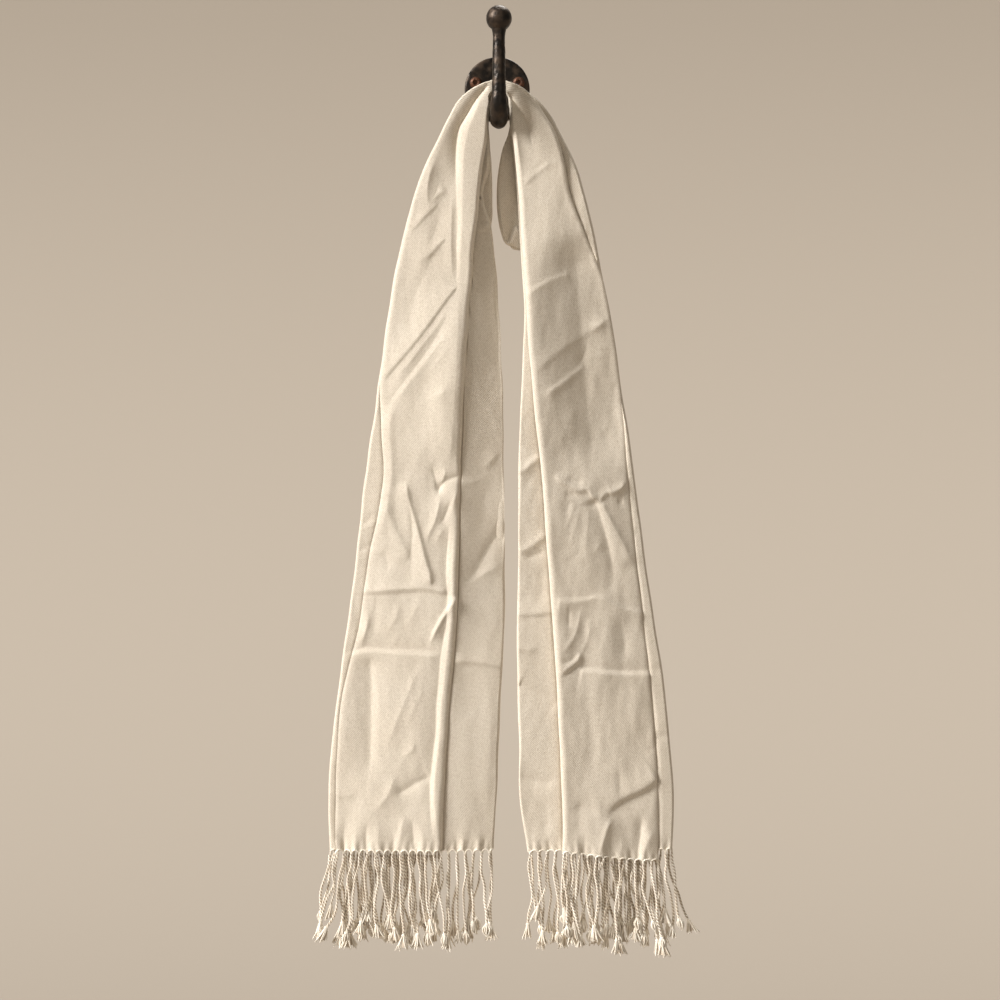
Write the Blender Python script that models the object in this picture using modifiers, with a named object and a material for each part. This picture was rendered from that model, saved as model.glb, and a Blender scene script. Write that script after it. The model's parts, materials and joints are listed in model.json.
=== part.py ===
"""A fringed wrap scarf hung over a ball-tip cast-iron wall hook.

Metres, +Z up. The wall is the plane y = 0 and the room is on its -Y side. The origin is the
centre of the back face of the hook's round plate. The scarf lies over the arm of the hook
and hangs down on both sides as two pleated tails, each with a twisted fringe.

The scarf is one woven rectangle. Pleated lengthwise, each tail has five layers, and a
horizontal cut through it, from selvedge to selvedge, runs like this:

    front  +--------------------+   front panel, turned under at its outer edge
           |   hem flap --------+
           +------------------------+   middle layer
        +---------------------------+   rear panel
        +--------------------------     back layer

The tables give each cut its two ends as seen from the front. The inner end is the one beside
the other tail. Close to the hook the cuts fan out around the arm, so the two ends of one cut
are at different heights there.
"""

import math

import bmesh
import bpy
import numpy as np
from mathutils import Vector

MM = 0.001

CLOTH_WALL = 0.0020
SEAM_GAP = 0.0003

# Hook
PLATE_DIAMETER = 0.068
PLATE_THICKNESS = 0.007
PLATE_EDGE_RADIUS = 0.0018
BALL_DIAMETER = 0.026
BALL_HEIGHT = 0.0635
ARM_LEAN = 0.0019
ARM_LEAN_POINTS = 4
SCREW_SPACING = 0.0455
SCREW_HEIGHT = 0.0078
SCREW_HEAD_DIAMETER = 0.0118
SCREW_HEAD_HEIGHT = 0.0034
SCREW_HEAD_FLAT_ANGLE = 15.0
SCREW_SHANK_DIAMETER = 0.0050
SCREW_HOLE_DIAMETER = 0.0056
SCREW_RECESS_DIAMETER = 0.0044
SCREW_RECESS_DEPTH = 0.0020
SCREW_RECESS_TAPER = 0.8
DOME_STEPS = 5

# Centre line of the hook's arm from its root in the plate up to the ball, in millimetres:
# y, z and the radius of the bar.
ARM_PATH = (
    (-3.0, -21.0, 8.2),
    (-10.0, -23.5, 7.8),
    (-20.0, -31.0, 7.8),
    (-32.0, -38.5, 8.6),
    (-45.0, -41.6, 9.4),
    (-56.0, -36.5, 9.3),
    (-62.0, -26.0, 8.4),
    (-63.5, -12.0, 7.5),
    (-63.4, 6.0, 6.9),
    (-62.8, 24.0, 6.6),
    (-62.2, 39.0, 6.3),
    (-62.0, 47.0, 6.9),
    (-62.0, 54.0, 8.0),
)

# Cuts through a tail, in millimetres. front_in and front_out are where the front panel
# begins and ends along the cut, 0 at its inner end and 1 at its outer end. The front panel
# has one deep tuck, tuck_at along the cut and tuck deep. pitch is the depth from one layer
# to the next, and crook is how far the rear panel is drawn forward into the hook.
TAIL_COLUMNS = (
    "inner_x", "inner_z", "outer_x", "outer_z",
    "front_in", "front_out", "tuck_at", "tuck", "pitch", "crook",
)
LEFT_TAIL = (
    (-7.0, -22.5, -27.0, -6.0, 0.20, 0.960, 0.58, 4.0, 8.2, 6.0),
    (-9.0, -28.0, -40.0, -17.0, 0.125, 0.965, 0.46, 5.5, 8.2, 4.0),
    (-9.6, -40.0, -52.0, -37.0, 0.10, 0.970, 0.52, 7.5, 8.0, 3.0),
    (-7.5, -60.0, -63.0, -59.0, 0.11, 0.975, 0.61, 9.0, 7.6, 1.0),
    (-7.6, -84.0, -75.5, -84.0, 0.11, 0.980, 0.50, 8.0, 6.8, 0.0),
    (-14.5, -112.0, -86.0, -112.0, 0.05, 0.985, 0.38, 6.0, 6.2, 0.0),
    (-6.0, -151.0, -96.8, -151.0, 0.176, 0.985, 0.39, 3.0, 5.6, 0.0),
    (1.0, -225.0, -112.0, -225.0, 0.260, 0.985, 0.45, 1.0, 5.0, 0.0),
    (5.5, -316.0, -125.0, -316.0, 0.305, 0.980, 0.50, 0.5, 4.8, 0.0),
    (7.0, -418.0, -140.0, -418.0, 0.311, 0.865, 0.50, 0.0, 4.6, 0.0),
    (8.0, -500.0, -148.5, -500.0, 0.308, 0.915, 0.50, 0.0, 4.5, 0.0),
    (7.2, -572.0, -158.0, -572.0, 0.305, 0.925, 0.50, 0.0, 4.4, 0.0),
    (3.8, -640.0, -167.6, -640.0, 0.308, 0.970, 0.50, 0.0, 4.3, 0.0),
    (1.0, -705.0, -175.0, -705.0, 0.311, 0.960, 0.50, 0.0, 4.2, 0.0),
    (-1.4, -757.0, -177.6, -757.0, 0.311, 0.955, 0.50, 0.0, 4.2, 0.0),
    (-4.6, -802.0, -175.5, -802.0, 0.312, 0.965, 0.50, 0.0, 4.2, 0.0),
)
RIGHT_TAIL = (
    (10.8, -22.5, 28.0, -4.5, 0.09, 0.930, 0.30, 3.0, 8.2, 4.0),
    (12.6, -28.0, 42.0, -15.0, 0.03, 0.860, 0.27, 5.0, 8.2, 3.0),
    (13.4, -40.0, 54.5, -29.0, 0.02, 0.840, 0.33, 6.0, 8.0, 2.0),
    (16.0, -60.0, 66.0, -50.0, 0.02, 0.880, 0.45, 6.0, 7.6, 1.0),
    (18.3, -84.0, 82.5, -84.0, 0.02, 0.810, 0.36, 4.0, 6.8, 0.0),
    (20.9, -112.0, 91.0, -112.0, 0.02, 0.780, 0.30, 2.0, 6.2, 0.0),
    (23.4, -151.0, 101.0, -151.0, 0.02, 0.858, 0.30, 1.5, 5.6, 0.0),
    (26.0, -193.0, 109.5, -193.0, 0.02, 0.980, 0.45, 1.0, 5.4, 0.0),
    (28.4, -240.0, 119.5, -240.0, 0.025, 0.985, 0.60, 1.5, 5.0, 0.0),
    (25.6, -316.0, 131.0, -316.0, 0.105, 0.985, 0.58, 1.5, 4.8, 0.0),
    (22.6, -405.0, 144.0, -405.0, 0.195, 0.940, 0.60, 1.0, 4.6, 0.0),
    (22.2, -490.0, 155.0, -490.0, 0.227, 0.925, 0.55, 0.0, 4.5, 0.0),
    (20.8, -560.0, 165.5, -560.0, 0.255, 0.915, 0.50, 0.0, 4.4, 0.0),
    (20.8, -620.0, 175.0, -620.0, 0.267, 0.905, 0.50, 0.0, 4.3, 0.0),
    (23.0, -690.0, 182.0, -690.0, 0.267, 0.902, 0.50, 0.0, 4.2, 0.0),
    (23.6, -750.0, 186.4, -750.0, 0.275, 0.896, 0.50, 0.0, 4.2, 0.0),
    (31.9, -802.0, 184.6, -802.0, 0.243, 0.900, 0.50, 0.0, 4.2, 0.0),
)

# Depth of the middle layer at the hook and below it, in millimetres. It settles from one to
# the other over the settle length, from the hook's reach down.
MIDDLE_AT_HOOK = -32.0
MIDDLE_BELOW = -29.0
HOOK_REACH = 40.0
SETTLE_LENGTH = 120.0

# Where the hidden edges lie along a cut, as fractions of it. The flap starts that far from
# the front panel's inner fold. The gap of the long seam is in millimetres.
FLAP_START = 0.15
MIDDLE_SEAM = 0.74
LONG_SEAM_GAP = 0.5
BACK_REACH = 0.93

# A fold is half a pitch round, or less where the cut is short. The deep tuck is a bell of
# this spread, its sides this far from its bottom, and each layer has a share of its depth.
ROUNDEST_FOLD = 0.09
TUCK_SPREAD = 0.07
TUCK_INNER_SIDE = 0.07
TUCK_OUTER_SIDE = 0.09
TUCK_SHARE = {"front": 1.0, "flap": 0.8, "middle": 0.5, "rear": 0.2}
SMALL_STEP = 0.01

# Cuts through the stretch that lies over the arm, in millimetres: their inner ends rest on
# the arm and their outer ends make the crowned top. It joins the first cuts of both tails.
SADDLE_CUTS = (
    LEFT_TAIL[0],
    (-3.7, -19.8, -12.0, 1.0, 0.40, 0.960, 0.76, 3.0, 8.2, 9.0),
    (1.9, -18.1, 1.0, 4.0, 0.45, 0.950, 0.80, 2.0, 8.2, 12.0),
    (7.5, -19.8, 14.0, 1.5, 0.35, 0.940, 0.66, 2.5, 8.2, 8.0),
    RIGHT_TAIL[0],
)

# Folds of cloth that sag behind the tails just under the hook, in millimetres: edge_x is the
# free rounded edge and inside_x the end that is hidden behind the tail.
SAG_SETBACK = 2.5
SAG_COLUMNS = ("z", "edge_x", "inside_x", "depth")
LEFT_SAG = (
    (-38.0, -12.0, -24.0, 2.6),
    (-50.0, -10.8, -30.0, 3.0),
    (-66.0, -7.6, -36.0, 4.2),
    (-90.0, -5.8, -42.0, 5.0),
    (-118.0, -5.4, -46.0, 5.0),
    (-140.0, -5.8, -46.0, 4.4),
    (-158.0, -11.0, -42.0, 3.4),
    (-166.0, -20.0, -36.0, 3.0),
)
RIGHT_SAG = (
    (-38.0, 14.0, 28.0, 2.6),
    (-50.0, 11.5, 36.0, 3.0),
    (-62.0, 6.8, 44.0, 4.2),
    (-86.0, 1.8, 52.0, 5.4),
    (-112.0, -0.2, 58.0, 6.0),
    (-138.0, 1.2, 60.0, 5.6),
    (-156.0, 4.6, 58.0, 4.6),
    (-168.0, 9.6, 54.0, 3.6),
    (-171.5, 14.5, 48.0, 3.0),
)

# Reach of each fringe, in millimetres, from the hem down to the cut tufts.
FRINGE_SIDES = 24
FRINGE_SQUARENESS = 0.35
FRINGE_COLUMNS = ("z", "inner_x", "outer_x", "front_y", "back_y")
LEFT_FRINGE = (
    (-802.3, -5.0, -175.0, -37.5, -20.0),
    (-840.0, -4.0, -178.0, -38.5, -19.0),
    (-875.0, 0.0, -186.0, -40.0, -17.0),
    (-905.0, 1.0, -188.0, -40.0, -17.0),
)
RIGHT_FRINGE = (
    (-802.3, 32.0, 184.0, -37.5, -20.0),
    (-840.0, 30.0, 190.0, -38.5, -19.0),
    (-875.0, 28.0, 200.0, -40.0, -17.0),
    (-908.0, 27.0, 203.0, -40.0, -17.0),
)

CREAM = (0.80, 0.72, 0.58)
IRON = (0.035, 0.032, 0.030)
RUST = (0.22, 0.085, 0.040)


def clear_scene():
    for obj in list(bpy.data.objects):
        bpy.data.objects.remove(obj, do_unlink=True)


def make_collection(name):
    collection = bpy.data.collections.new(name)
    bpy.context.scene.collection.children.link(collection)
    return collection


def make_material(name, colour, roughness, metallic):
    material = bpy.data.materials.new(name)
    material.use_nodes = True
    shader = material.node_tree.nodes["Principled BSDF"]
    shader.inputs["Base Color"].default_value = (*colour, 1.0)
    shader.inputs["Roughness"].default_value = roughness
    shader.inputs["Metallic"].default_value = metallic
    return material


def add_object(name, mesh, collection, material=None):
    obj = bpy.data.objects.new(name, mesh)
    collection.objects.link(obj)
    if material:
        obj.data.materials.append(material)
    return obj


def as_cutter(obj):
    obj.hide_render = True
    obj.display_type = "WIRE"


def cylinder(name, radius, depth, collection, material=None, sides=32):
    """A cylinder along Y, centred on its object's origin."""
    mesh = bpy.data.meshes.new(name)
    shape = bmesh.new()
    bmesh.ops.create_cone(
        shape, cap_ends=True, segments=sides, radius1=radius, radius2=radius, depth=depth
    )
    bmesh.ops.rotate(
        shape,
        verts=shape.verts,
        cent=(0.0, 0.0, 0.0),
        matrix=Vector((0.0, 0.0, 1.0)).rotation_difference(Vector((0.0, -1.0, 0.0))).to_matrix(),
    )
    shape.to_mesh(mesh)
    shape.free()
    return add_object(name, mesh, collection, material)


def smooth(obj, angle=40.0):
    obj.data.shade_smooth()
    obj.data.set_sharp_from_angle(angle=math.radians(angle))


def cut_or_join(obj, other, operation):
    step = obj.modifiers.new(other.name, "BOOLEAN")
    step.operation = operation
    step.solver = "EXACT"
    step.object = other


# ---- hook -------------------------------------------------------------------------------


def arm_mesh(name, collection):
    """The arm: a round bar along ARM_PATH that leans to +X over its first points."""
    curve = bpy.data.curves.new(name, "CURVE")
    curve.dimensions = "3D"
    curve.bevel_depth = 1.0
    curve.bevel_resolution = 4
    curve.resolution_u = 3
    curve.use_fill_caps = True
    spline = curve.splines.new("NURBS")
    spline.points.add(len(ARM_PATH) - 1)
    spline.order_u = 3
    spline.use_endpoint_u = True
    for index, (point, (y, z, radius)) in enumerate(zip(spline.points, ARM_PATH)):
        lean = ARM_LEAN * min(1.0, index / ARM_LEAN_POINTS)
        point.co = (lean, y * MM, z * MM, 1.0)
        point.radius = radius * MM
    tube = bpy.data.objects.new(name, curve)
    collection.objects.link(tube)
    graph = bpy.context.evaluated_depsgraph_get()
    mesh = bpy.data.meshes.new_from_object(tube.evaluated_get(graph))
    shape = bmesh.new()
    shape.from_mesh(mesh)
    bmesh.ops.remove_doubles(shape, verts=shape.verts, dist=0.00001)
    bmesh.ops.recalc_face_normals(shape, faces=shape.faces)
    shape.to_mesh(mesh)
    shape.free()
    bpy.data.objects.remove(tube, do_unlink=True)
    return add_object(name, mesh, collection)


def screw_places():
    for name, side in (("left", -1.0), ("right", 1.0)):
        yield name, side * SCREW_SPACING / 2


def make_hook(parts, cutters, material):
    """One casting: the round plate, the J-shaped arm and the ball on its tip."""
    plate = cylinder("hook", PLATE_DIAMETER / 2, PLATE_THICKNESS, parts, material, sides=64)
    for vertex in plate.data.vertices:
        vertex.co.y -= PLATE_THICKNESS / 2
    edge = plate.modifiers.new("rounded edge", "BEVEL")
    edge.width = PLATE_EDGE_RADIUS
    edge.segments = 3
    edge.limit_method = "ANGLE"

    arm = arm_mesh("arm_shape", cutters)
    as_cutter(arm)
    cut_or_join(plate, arm, "UNION")

    ball_mesh = bpy.data.meshes.new("ball_shape")
    ball_shape = bmesh.new()
    bmesh.ops.create_uvsphere(ball_shape, u_segments=32, v_segments=20, radius=BALL_DIAMETER / 2)
    ball_shape.to_mesh(ball_mesh)
    ball_shape.free()
    ball = add_object("ball_shape", ball_mesh, cutters)
    ball.location = (ARM_LEAN, ARM_PATH[-1][0] * MM, BALL_HEIGHT)
    as_cutter(ball)
    cut_or_join(plate, ball, "UNION")

    for name, x in screw_places():
        hole = cylinder(f"screw_hole_{name}", SCREW_HOLE_DIAMETER / 2, 4 * PLATE_THICKNESS, cutters)
        hole.location = (x, 0.0, SCREW_HEIGHT)
        as_cutter(hole)
        cut_or_join(plate, hole, "DIFFERENCE")
    smooth(plate)


def make_screw(name, x, parts, material):
    """A round-head screw: a domed head with a round recess, and its shank inside the plate."""
    head = SCREW_HEAD_DIAMETER / 2
    shank = SCREW_SHANK_DIAMETER / 2
    recess = SCREW_RECESS_DIAMETER / 2
    seat = -PLATE_THICKNESS - SEAM_GAP
    crown = seat - SCREW_HEAD_HEIGHT
    floor = crown + SCREW_RECESS_DEPTH
    rim = crown + SCREW_HEAD_HEIGHT * (1.0 - math.cos(math.radians(SCREW_HEAD_FLAT_ANGLE)))
    profile = [(0.0, floor), (recess * SCREW_RECESS_TAPER, floor), (recess, rim)]
    for angle in np.linspace(SCREW_HEAD_FLAT_ANGLE, 90.0, DOME_STEPS + 1)[1:]:
        turn = math.radians(angle)
        profile.append((head * math.sin(turn), seat - SCREW_HEAD_HEIGHT * math.cos(turn)))
    profile.append((shank, seat))
    profile.append((shank, -SEAM_GAP))
    profile.append((0.0, -SEAM_GAP))

    mesh = bpy.data.meshes.new(name)
    mesh.from_pydata(
        [(radius, 0.0, -depth) for radius, depth in profile],
        [(i, i + 1) for i in range(len(profile) - 1)],
        [],
    )
    screw = add_object(name, mesh, parts, material)
    turning = screw.modifiers.new("turned", "SCREW")
    turning.axis = "Z"
    turning.steps = 24
    turning.render_steps = 24
    turning.use_merge_vertices = True
    turning.merge_threshold = 0.00001
    screw.rotation_euler = (math.radians(90.0), 0.0, 0.0)
    screw.location = (x, 0.0, SCREW_HEIGHT)


# ---- cloth ------------------------------------------------------------------------------


def table(rows, columns):
    """The table as one array for each column."""
    values = np.array(rows)
    return {name: values[:, index] for index, name in enumerate(columns)}


def cut_lengths(cuts):
    return np.hypot(cuts["outer_x"] - cuts["inner_x"], cuts["outer_z"] - cuts["inner_z"])


def between(start, end, steps):
    """Rows x (steps + 1) fractions, evenly spaced from each row's start to its end."""
    part = np.linspace(0.0, 1.0, steps + 1)[None, :]
    return start[:, None] + part * (end - start)[:, None]


def turn_fold(at, reach, depth_from, depth_to, steps=4):
    """A half-round fold: `at` is its outermost fraction and `reach` its signed roundness."""
    angle = np.linspace(0.0, math.pi, steps + 1)[None, 1:-1]
    along = at[:, None] - reach[:, None] * (1.0 - np.sin(angle))
    middle = (depth_from + depth_to)[:, None] / 2
    half = (depth_to - depth_from)[:, None] / 2
    return along, middle - half * np.cos(angle)


def layer_depths(cuts):
    """The depth of each layer, one pitch apart about the middle layer."""
    drop = -np.minimum(cuts["inner_z"], cuts["outer_z"])
    at_hook = np.exp(-np.maximum(drop - HOOK_REACH, 0.0) / SETTLE_LENGTH)
    middle = MIDDLE_BELOW + (MIDDLE_AT_HOOK - MIDDLE_BELOW) * at_hook
    steps = {"front": -2, "flap": -1, "middle": 0, "rear": 1, "back": 2}
    return {name: middle + step * cuts["pitch"] for name, step in steps.items()}


def fold_roundness(cuts):
    """How far a fold reaches back along its cut, as a fraction of the cut."""
    lengths = cut_lengths(cuts)
    return np.minimum(cuts["pitch"] / 2, ROUNDEST_FOLD * lengths) / lengths


def tuck_dip(cuts, along, layer):
    """How far the deep tuck draws a layer back: a narrow bell centred on tuck_at."""
    away = (along - cuts["tuck_at"][:, None]) / TUCK_SPREAD
    return TUCK_SHARE[layer] * cuts["tuck"][:, None] * np.exp(-away * away)


def front_half(cuts):
    """The flap, its fold, the front panel, its fold and the hidden half of the middle layer.

    Gives the fraction along the cut and the depth of each point, both rows x columns.
    """
    depth = layer_depths(cuts)
    roundness = fold_roundness(cuts)
    panel_start = cuts["front_in"] + roundness
    panel_end = cuts["front_out"] - roundness
    tuck = np.maximum(cuts["tuck_at"], panel_start + TUCK_INNER_SIDE)
    outer_side = np.minimum(tuck + TUCK_OUTER_SIDE, panel_end - SMALL_STEP)
    inner_side = np.maximum(tuck - TUCK_INNER_SIDE, panel_start + 2 * SMALL_STEP)
    flap = between(cuts["front_in"] + FLAP_START, panel_end, 3)
    outer, outer_depth = turn_fold(cuts["front_out"], roundness, depth["flap"], depth["front"])
    panel = np.concatenate(
        [
            between(panel_end, outer_side, 2),
            tuck[:, None],
            between(inner_side, panel_start, 2),
        ],
        axis=1,
    )
    inner, inner_depth = turn_fold(cuts["front_in"], -roundness, depth["front"], depth["middle"])
    hidden = between(panel_start, np.full(len(tuck), MIDDLE_SEAM), 2)
    along = np.concatenate([flap, outer, panel, inner, hidden], axis=1)
    deep = np.concatenate(
        [
            depth["flap"][:, None] + tuck_dip(cuts, flap, "flap"),
            outer_depth,
            depth["front"][:, None] + tuck_dip(cuts, panel, "front"),
            inner_depth,
            depth["middle"][:, None] + tuck_dip(cuts, hidden, "middle"),
        ],
        axis=1,
    )
    return along, deep


def back_half(cuts, gap=LONG_SEAM_GAP):
    """The outer half of the middle layer, the rear panel and the back layer, with two folds."""
    depth = layer_depths(cuts)
    roundness = fold_roundness(cuts)
    one = np.ones(len(roundness))
    middle = between(MIDDLE_SEAM + gap / cut_lengths(cuts), one - roundness, 2)
    outer, outer_depth = turn_fold(one, roundness, depth["middle"], depth["rear"])
    rear = between(one - roundness, roundness, 5)
    forward = cuts["crook"][:, None] * (1.0 - rear) ** 2
    rear_depth = depth["rear"][:, None] + tuck_dip(cuts, rear, "rear") - forward
    inner, inner_depth = turn_fold(0.0 * one, -roundness, rear_depth[:, -1], depth["back"])
    back = between(roundness, BACK_REACH * one, 4)
    along = np.concatenate([middle, outer, rear, inner, back], axis=1)
    deep = np.concatenate(
        [
            depth["middle"][:, None] + tuck_dip(cuts, middle, "middle"),
            outer_depth,
            rear_depth,
            inner_depth,
            np.broadcast_to(depth["back"][:, None], back.shape),
        ],
        axis=1,
    )
    return along, deep


def wall_outline(across, deep):
    """Both sides of a wall about a line, in the plane of its cut: each point is moved half
    the wall's thickness to either side, at right angles to the line."""
    step_across = np.gradient(across, axis=1)
    step_deep = np.gradient(deep, axis=1)
    size = np.hypot(step_across, step_deep)
    half = CLOTH_WALL / MM / 2
    move_across = -step_deep / size * half
    move_deep = step_across / size * half
    sides = np.concatenate([across + move_across, (across - move_across)[:, ::-1]], axis=1)
    return sides, np.concatenate([deep + move_deep, (deep - move_deep)[:, ::-1]], axis=1)


def loft(name, points, parts, material):
    """A closed solid through rings of points. Each ring is the two sides of a wall, the
    second side in reverse, so its ends are closed by strips from side to side."""
    rows, count = points.shape[:2]
    index = np.arange(rows * count).reshape(rows, count)
    onward = np.roll(index, -1, axis=1)
    around = np.stack([index[:-1], onward[:-1], onward[1:], index[1:]], axis=-1).reshape(-1, 4)
    half = count // 2
    near = np.arange(half - 1)
    strip = np.stack([near, near + 1, count - 2 - near, count - 1 - near], axis=-1)
    quads = np.concatenate([around, index[0][strip], index[-1][strip]])
    mesh = bpy.data.meshes.new(name)
    mesh.from_pydata((points * MM).reshape(-1, 3).tolist(), [], quads.tolist())
    shape = bmesh.new()
    shape.from_mesh(mesh)
    bmesh.ops.recalc_face_normals(shape, faces=shape.faces)
    shape.to_mesh(mesh)
    shape.free()
    smooth(add_object(name, mesh, parts, material), 60.0)


def cloth_through(name, cuts, along, deep, parts, material):
    """A cloth wall whose cuts run straight from their inner to their outer ends."""
    length = cut_lengths(cuts)[:, None]
    across, depth = wall_outline(along * length, deep)
    part = across / length
    x = cuts["inner_x"][:, None] + part * (cuts["outer_x"] - cuts["inner_x"])[:, None]
    z = cuts["inner_z"][:, None] + part * (cuts["outer_z"] - cuts["inner_z"])[:, None]
    loft(name, np.stack([x, depth, z], axis=-1), parts, material)


def make_tail(side, rows, parts, material):
    """One tail, from its seam with the stretch over the arm down to its hem."""
    cuts = table(rows, TAIL_COLUMNS)
    side_sign = np.sign(cuts["outer_x"][-1])
    run = cuts["outer_x"][0] - cuts["inner_x"][0]
    rise = cuts["outer_z"][0] - cuts["inner_z"][0]
    for end in ("inner", "outer"):
        cuts[f"{end}_x"][0] += side_sign * rise / math.hypot(run, rise) * SEAM_GAP / MM
        cuts[f"{end}_z"][0] -= side_sign * run / math.hypot(run, rise) * SEAM_GAP / MM
    cloth_through(f"{side}_front", cuts, *front_half(cuts), parts, material)
    cloth_through(f"{side}_back", cuts, *back_half(cuts), parts, material)


def make_saddle(parts, material):
    """The stretch over the arm, with the same layers as the tails."""
    cuts = table(SADDLE_CUTS, TAIL_COLUMNS)
    front = front_half(cuts)
    back = back_half(cuts, gap=0.0)
    along, deep = (np.concatenate([a, b[:, 1:]], axis=1) for a, b in zip(front, back))
    cloth_through("saddle", cuts, along, deep, parts, material)


def make_sag(name, rows, tail_rows, parts, material):
    """A fold of cloth that sags behind a tail: a front wall, a round edge and a rear wall."""
    sag = table(rows, SAG_COLUMNS)
    tail = table(tail_rows, TAIL_COLUMNS)
    behind = np.interp(-sag["z"], -tail["inner_z"], layer_depths(tail)["back"])
    front = (behind + SAG_SETBACK)[:, None]
    inward = np.sign(sag["inside_x"] - sag["edge_x"])[:, None]
    width = np.abs(sag["inside_x"] - sag["edge_x"])[:, None]
    radius = sag["depth"][:, None] / 2
    wall = radius + np.linspace(1.0, 0.0, 4)[None, :-1] * (width - radius)
    angle = np.linspace(0.0, math.pi, 5)[None, :]
    across = np.concatenate([wall, radius * (1.0 - np.sin(angle)), wall[:, ::-1]], axis=1)
    deep = np.concatenate(
        [0.0 * wall, radius * (1.0 - np.cos(angle)), 0.0 * wall + 2 * radius], axis=1
    )
    across, deep = wall_outline(across, front + deep)
    x = sag["edge_x"][:, None] + inward * across
    z = np.broadcast_to(sag["z"][:, None], x.shape)
    loft(name, np.stack([x, deep, z], axis=-1), parts, material)


def make_fringe(name, rows, parts, material):
    """The reach of a fringe: a slab with rounded sides, lofted from the hem to the tufts."""
    reach = table(rows, FRINGE_COLUMNS)
    angle = (np.arange(FRINGE_SIDES) + 0.5)[None, :] * 2 * math.pi / FRINGE_SIDES
    across = np.sign(np.cos(angle)) * np.abs(np.cos(angle)) ** FRINGE_SQUARENESS
    deep = np.sign(np.sin(angle)) * np.abs(np.sin(angle)) ** FRINGE_SQUARENESS
    x = (reach["inner_x"] + reach["outer_x"])[:, None] / 2
    x = x + across * (reach["outer_x"] - reach["inner_x"])[:, None] / 2
    y = (reach["front_y"] + reach["back_y"])[:, None] / 2
    y = y + deep * (reach["back_y"] - reach["front_y"])[:, None] / 2
    z = np.broadcast_to(reach["z"][:, None], x.shape)
    loft(name, np.stack([x, y, z], axis=-1), parts, material)


def clear_scene_and_build():
    clear_scene()
    parts = make_collection("fringed wrap scarf on a wall hook")
    cutters = make_collection("cutters")
    iron = make_material("cast iron", IRON, 0.55, 0.9)
    rust = make_material("rusted screw", RUST, 0.7, 0.6)
    cloth = make_material("cream twill", CREAM, 0.85, 0.0)
    yarn = make_material("cream yarn", CREAM, 0.9, 0.0)
    make_hook(parts, cutters, iron)
    for name, x in screw_places():
        make_screw(f"screw_{name}", x, parts, rust)
    make_tail("left", LEFT_TAIL, parts, cloth)
    make_tail("right", RIGHT_TAIL, parts, cloth)
    make_saddle(parts, cloth)
    make_sag("left_sag", LEFT_SAG, LEFT_TAIL, parts, cloth)
    make_sag("right_sag", RIGHT_SAG, RIGHT_TAIL, parts, cloth)
    make_fringe("left_fringe", LEFT_FRINGE, parts, yarn)
    make_fringe("right_fringe", RIGHT_FRINGE, parts, yarn)


clear_scene_and_build()
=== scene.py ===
import json
import math

import bpy
import numpy as np
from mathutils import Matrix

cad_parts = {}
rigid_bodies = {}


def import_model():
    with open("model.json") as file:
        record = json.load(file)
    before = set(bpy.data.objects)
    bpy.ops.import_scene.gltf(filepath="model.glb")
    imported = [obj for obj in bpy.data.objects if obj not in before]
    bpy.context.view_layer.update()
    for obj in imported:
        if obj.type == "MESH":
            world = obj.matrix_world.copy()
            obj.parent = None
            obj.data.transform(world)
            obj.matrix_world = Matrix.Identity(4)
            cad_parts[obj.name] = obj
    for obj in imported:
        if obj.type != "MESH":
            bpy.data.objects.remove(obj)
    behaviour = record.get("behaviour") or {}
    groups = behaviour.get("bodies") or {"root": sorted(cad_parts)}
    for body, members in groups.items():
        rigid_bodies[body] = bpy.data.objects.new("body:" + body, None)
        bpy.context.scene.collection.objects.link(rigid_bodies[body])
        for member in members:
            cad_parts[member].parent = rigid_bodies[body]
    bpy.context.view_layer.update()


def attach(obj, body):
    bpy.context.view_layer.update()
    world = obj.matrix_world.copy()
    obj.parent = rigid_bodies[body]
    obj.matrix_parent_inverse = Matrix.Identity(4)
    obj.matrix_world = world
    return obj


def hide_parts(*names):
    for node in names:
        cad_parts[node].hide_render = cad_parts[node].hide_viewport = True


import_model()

# A cream wrap scarf with twisted fringe, hung over a ball-tip cast-iron wall hook.
# Shapes are worked out in millimetres and go into the meshes in metres.

mm = 0.001
fullTurn = 2 * math.pi
scene = bpy.context.scene
waveTurns, waveLeans = (1, 0.35), (0, 1)  # mean and spread

# ways of working out shapes


def smoothStep(value, low, high):
    # 0 below low, 1 above high, and 3t^2 - 2t^3 in between
    part = np.clip((value - low) / (high - low), 0, 1)
    return part * part * (3 - 2 * part)


def throughPoints(knots, values, at):
    # a cubic curve through the values at their knots, its slope at a knot taken from both sides
    knots, values = np.asarray(knots, float), np.asarray(values, float)
    slopes = np.gradient(values, knots, axis=0)
    place = np.clip(np.searchsorted(knots, at) - 1, 0, len(knots) - 2)
    width = knots[place + 1] - knots[place]
    part = (at - knots[place]) / width
    if values.ndim > 1:
        width, part = width[:, None], part[:, None]
    rise = part * part * (3 - 2 * part)
    bend = slopes[place] * (1 - part) - slopes[place + 1] * part
    return values[place] * (1 - rise) + values[place + 1] * rise + width * part * (1 - part) * bend


def travel(points):
    # distance run along a line of points, from 0 at its first
    steps = np.linalg.norm(np.diff(np.asarray(points, float), axis=0), axis=-1)
    return np.concatenate([[0], np.cumsum(steps)])


def unit(vectors):
    return vectors / np.maximum(np.linalg.norm(vectors, axis=-1, keepdims=True), 1e-9)


def softWaves(x, z, seed, across, along, count=20):
    # the sum of sin(turn * x / across + lean * z / along + phase) for random turn, lean and
    # phase, about 1 high
    draw = np.random.default_rng(seed)
    total = np.zeros_like(x)
    turns, leans = (draw.normal(*given, count) for given in (waveTurns, waveLeans))
    for turn, lean, phase in zip(turns, leans, draw.random(count)):
        total += np.sin(fullTurn * (turn * x / across + lean * z / along + phase))
    return total / math.sqrt(count / 2)


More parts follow.
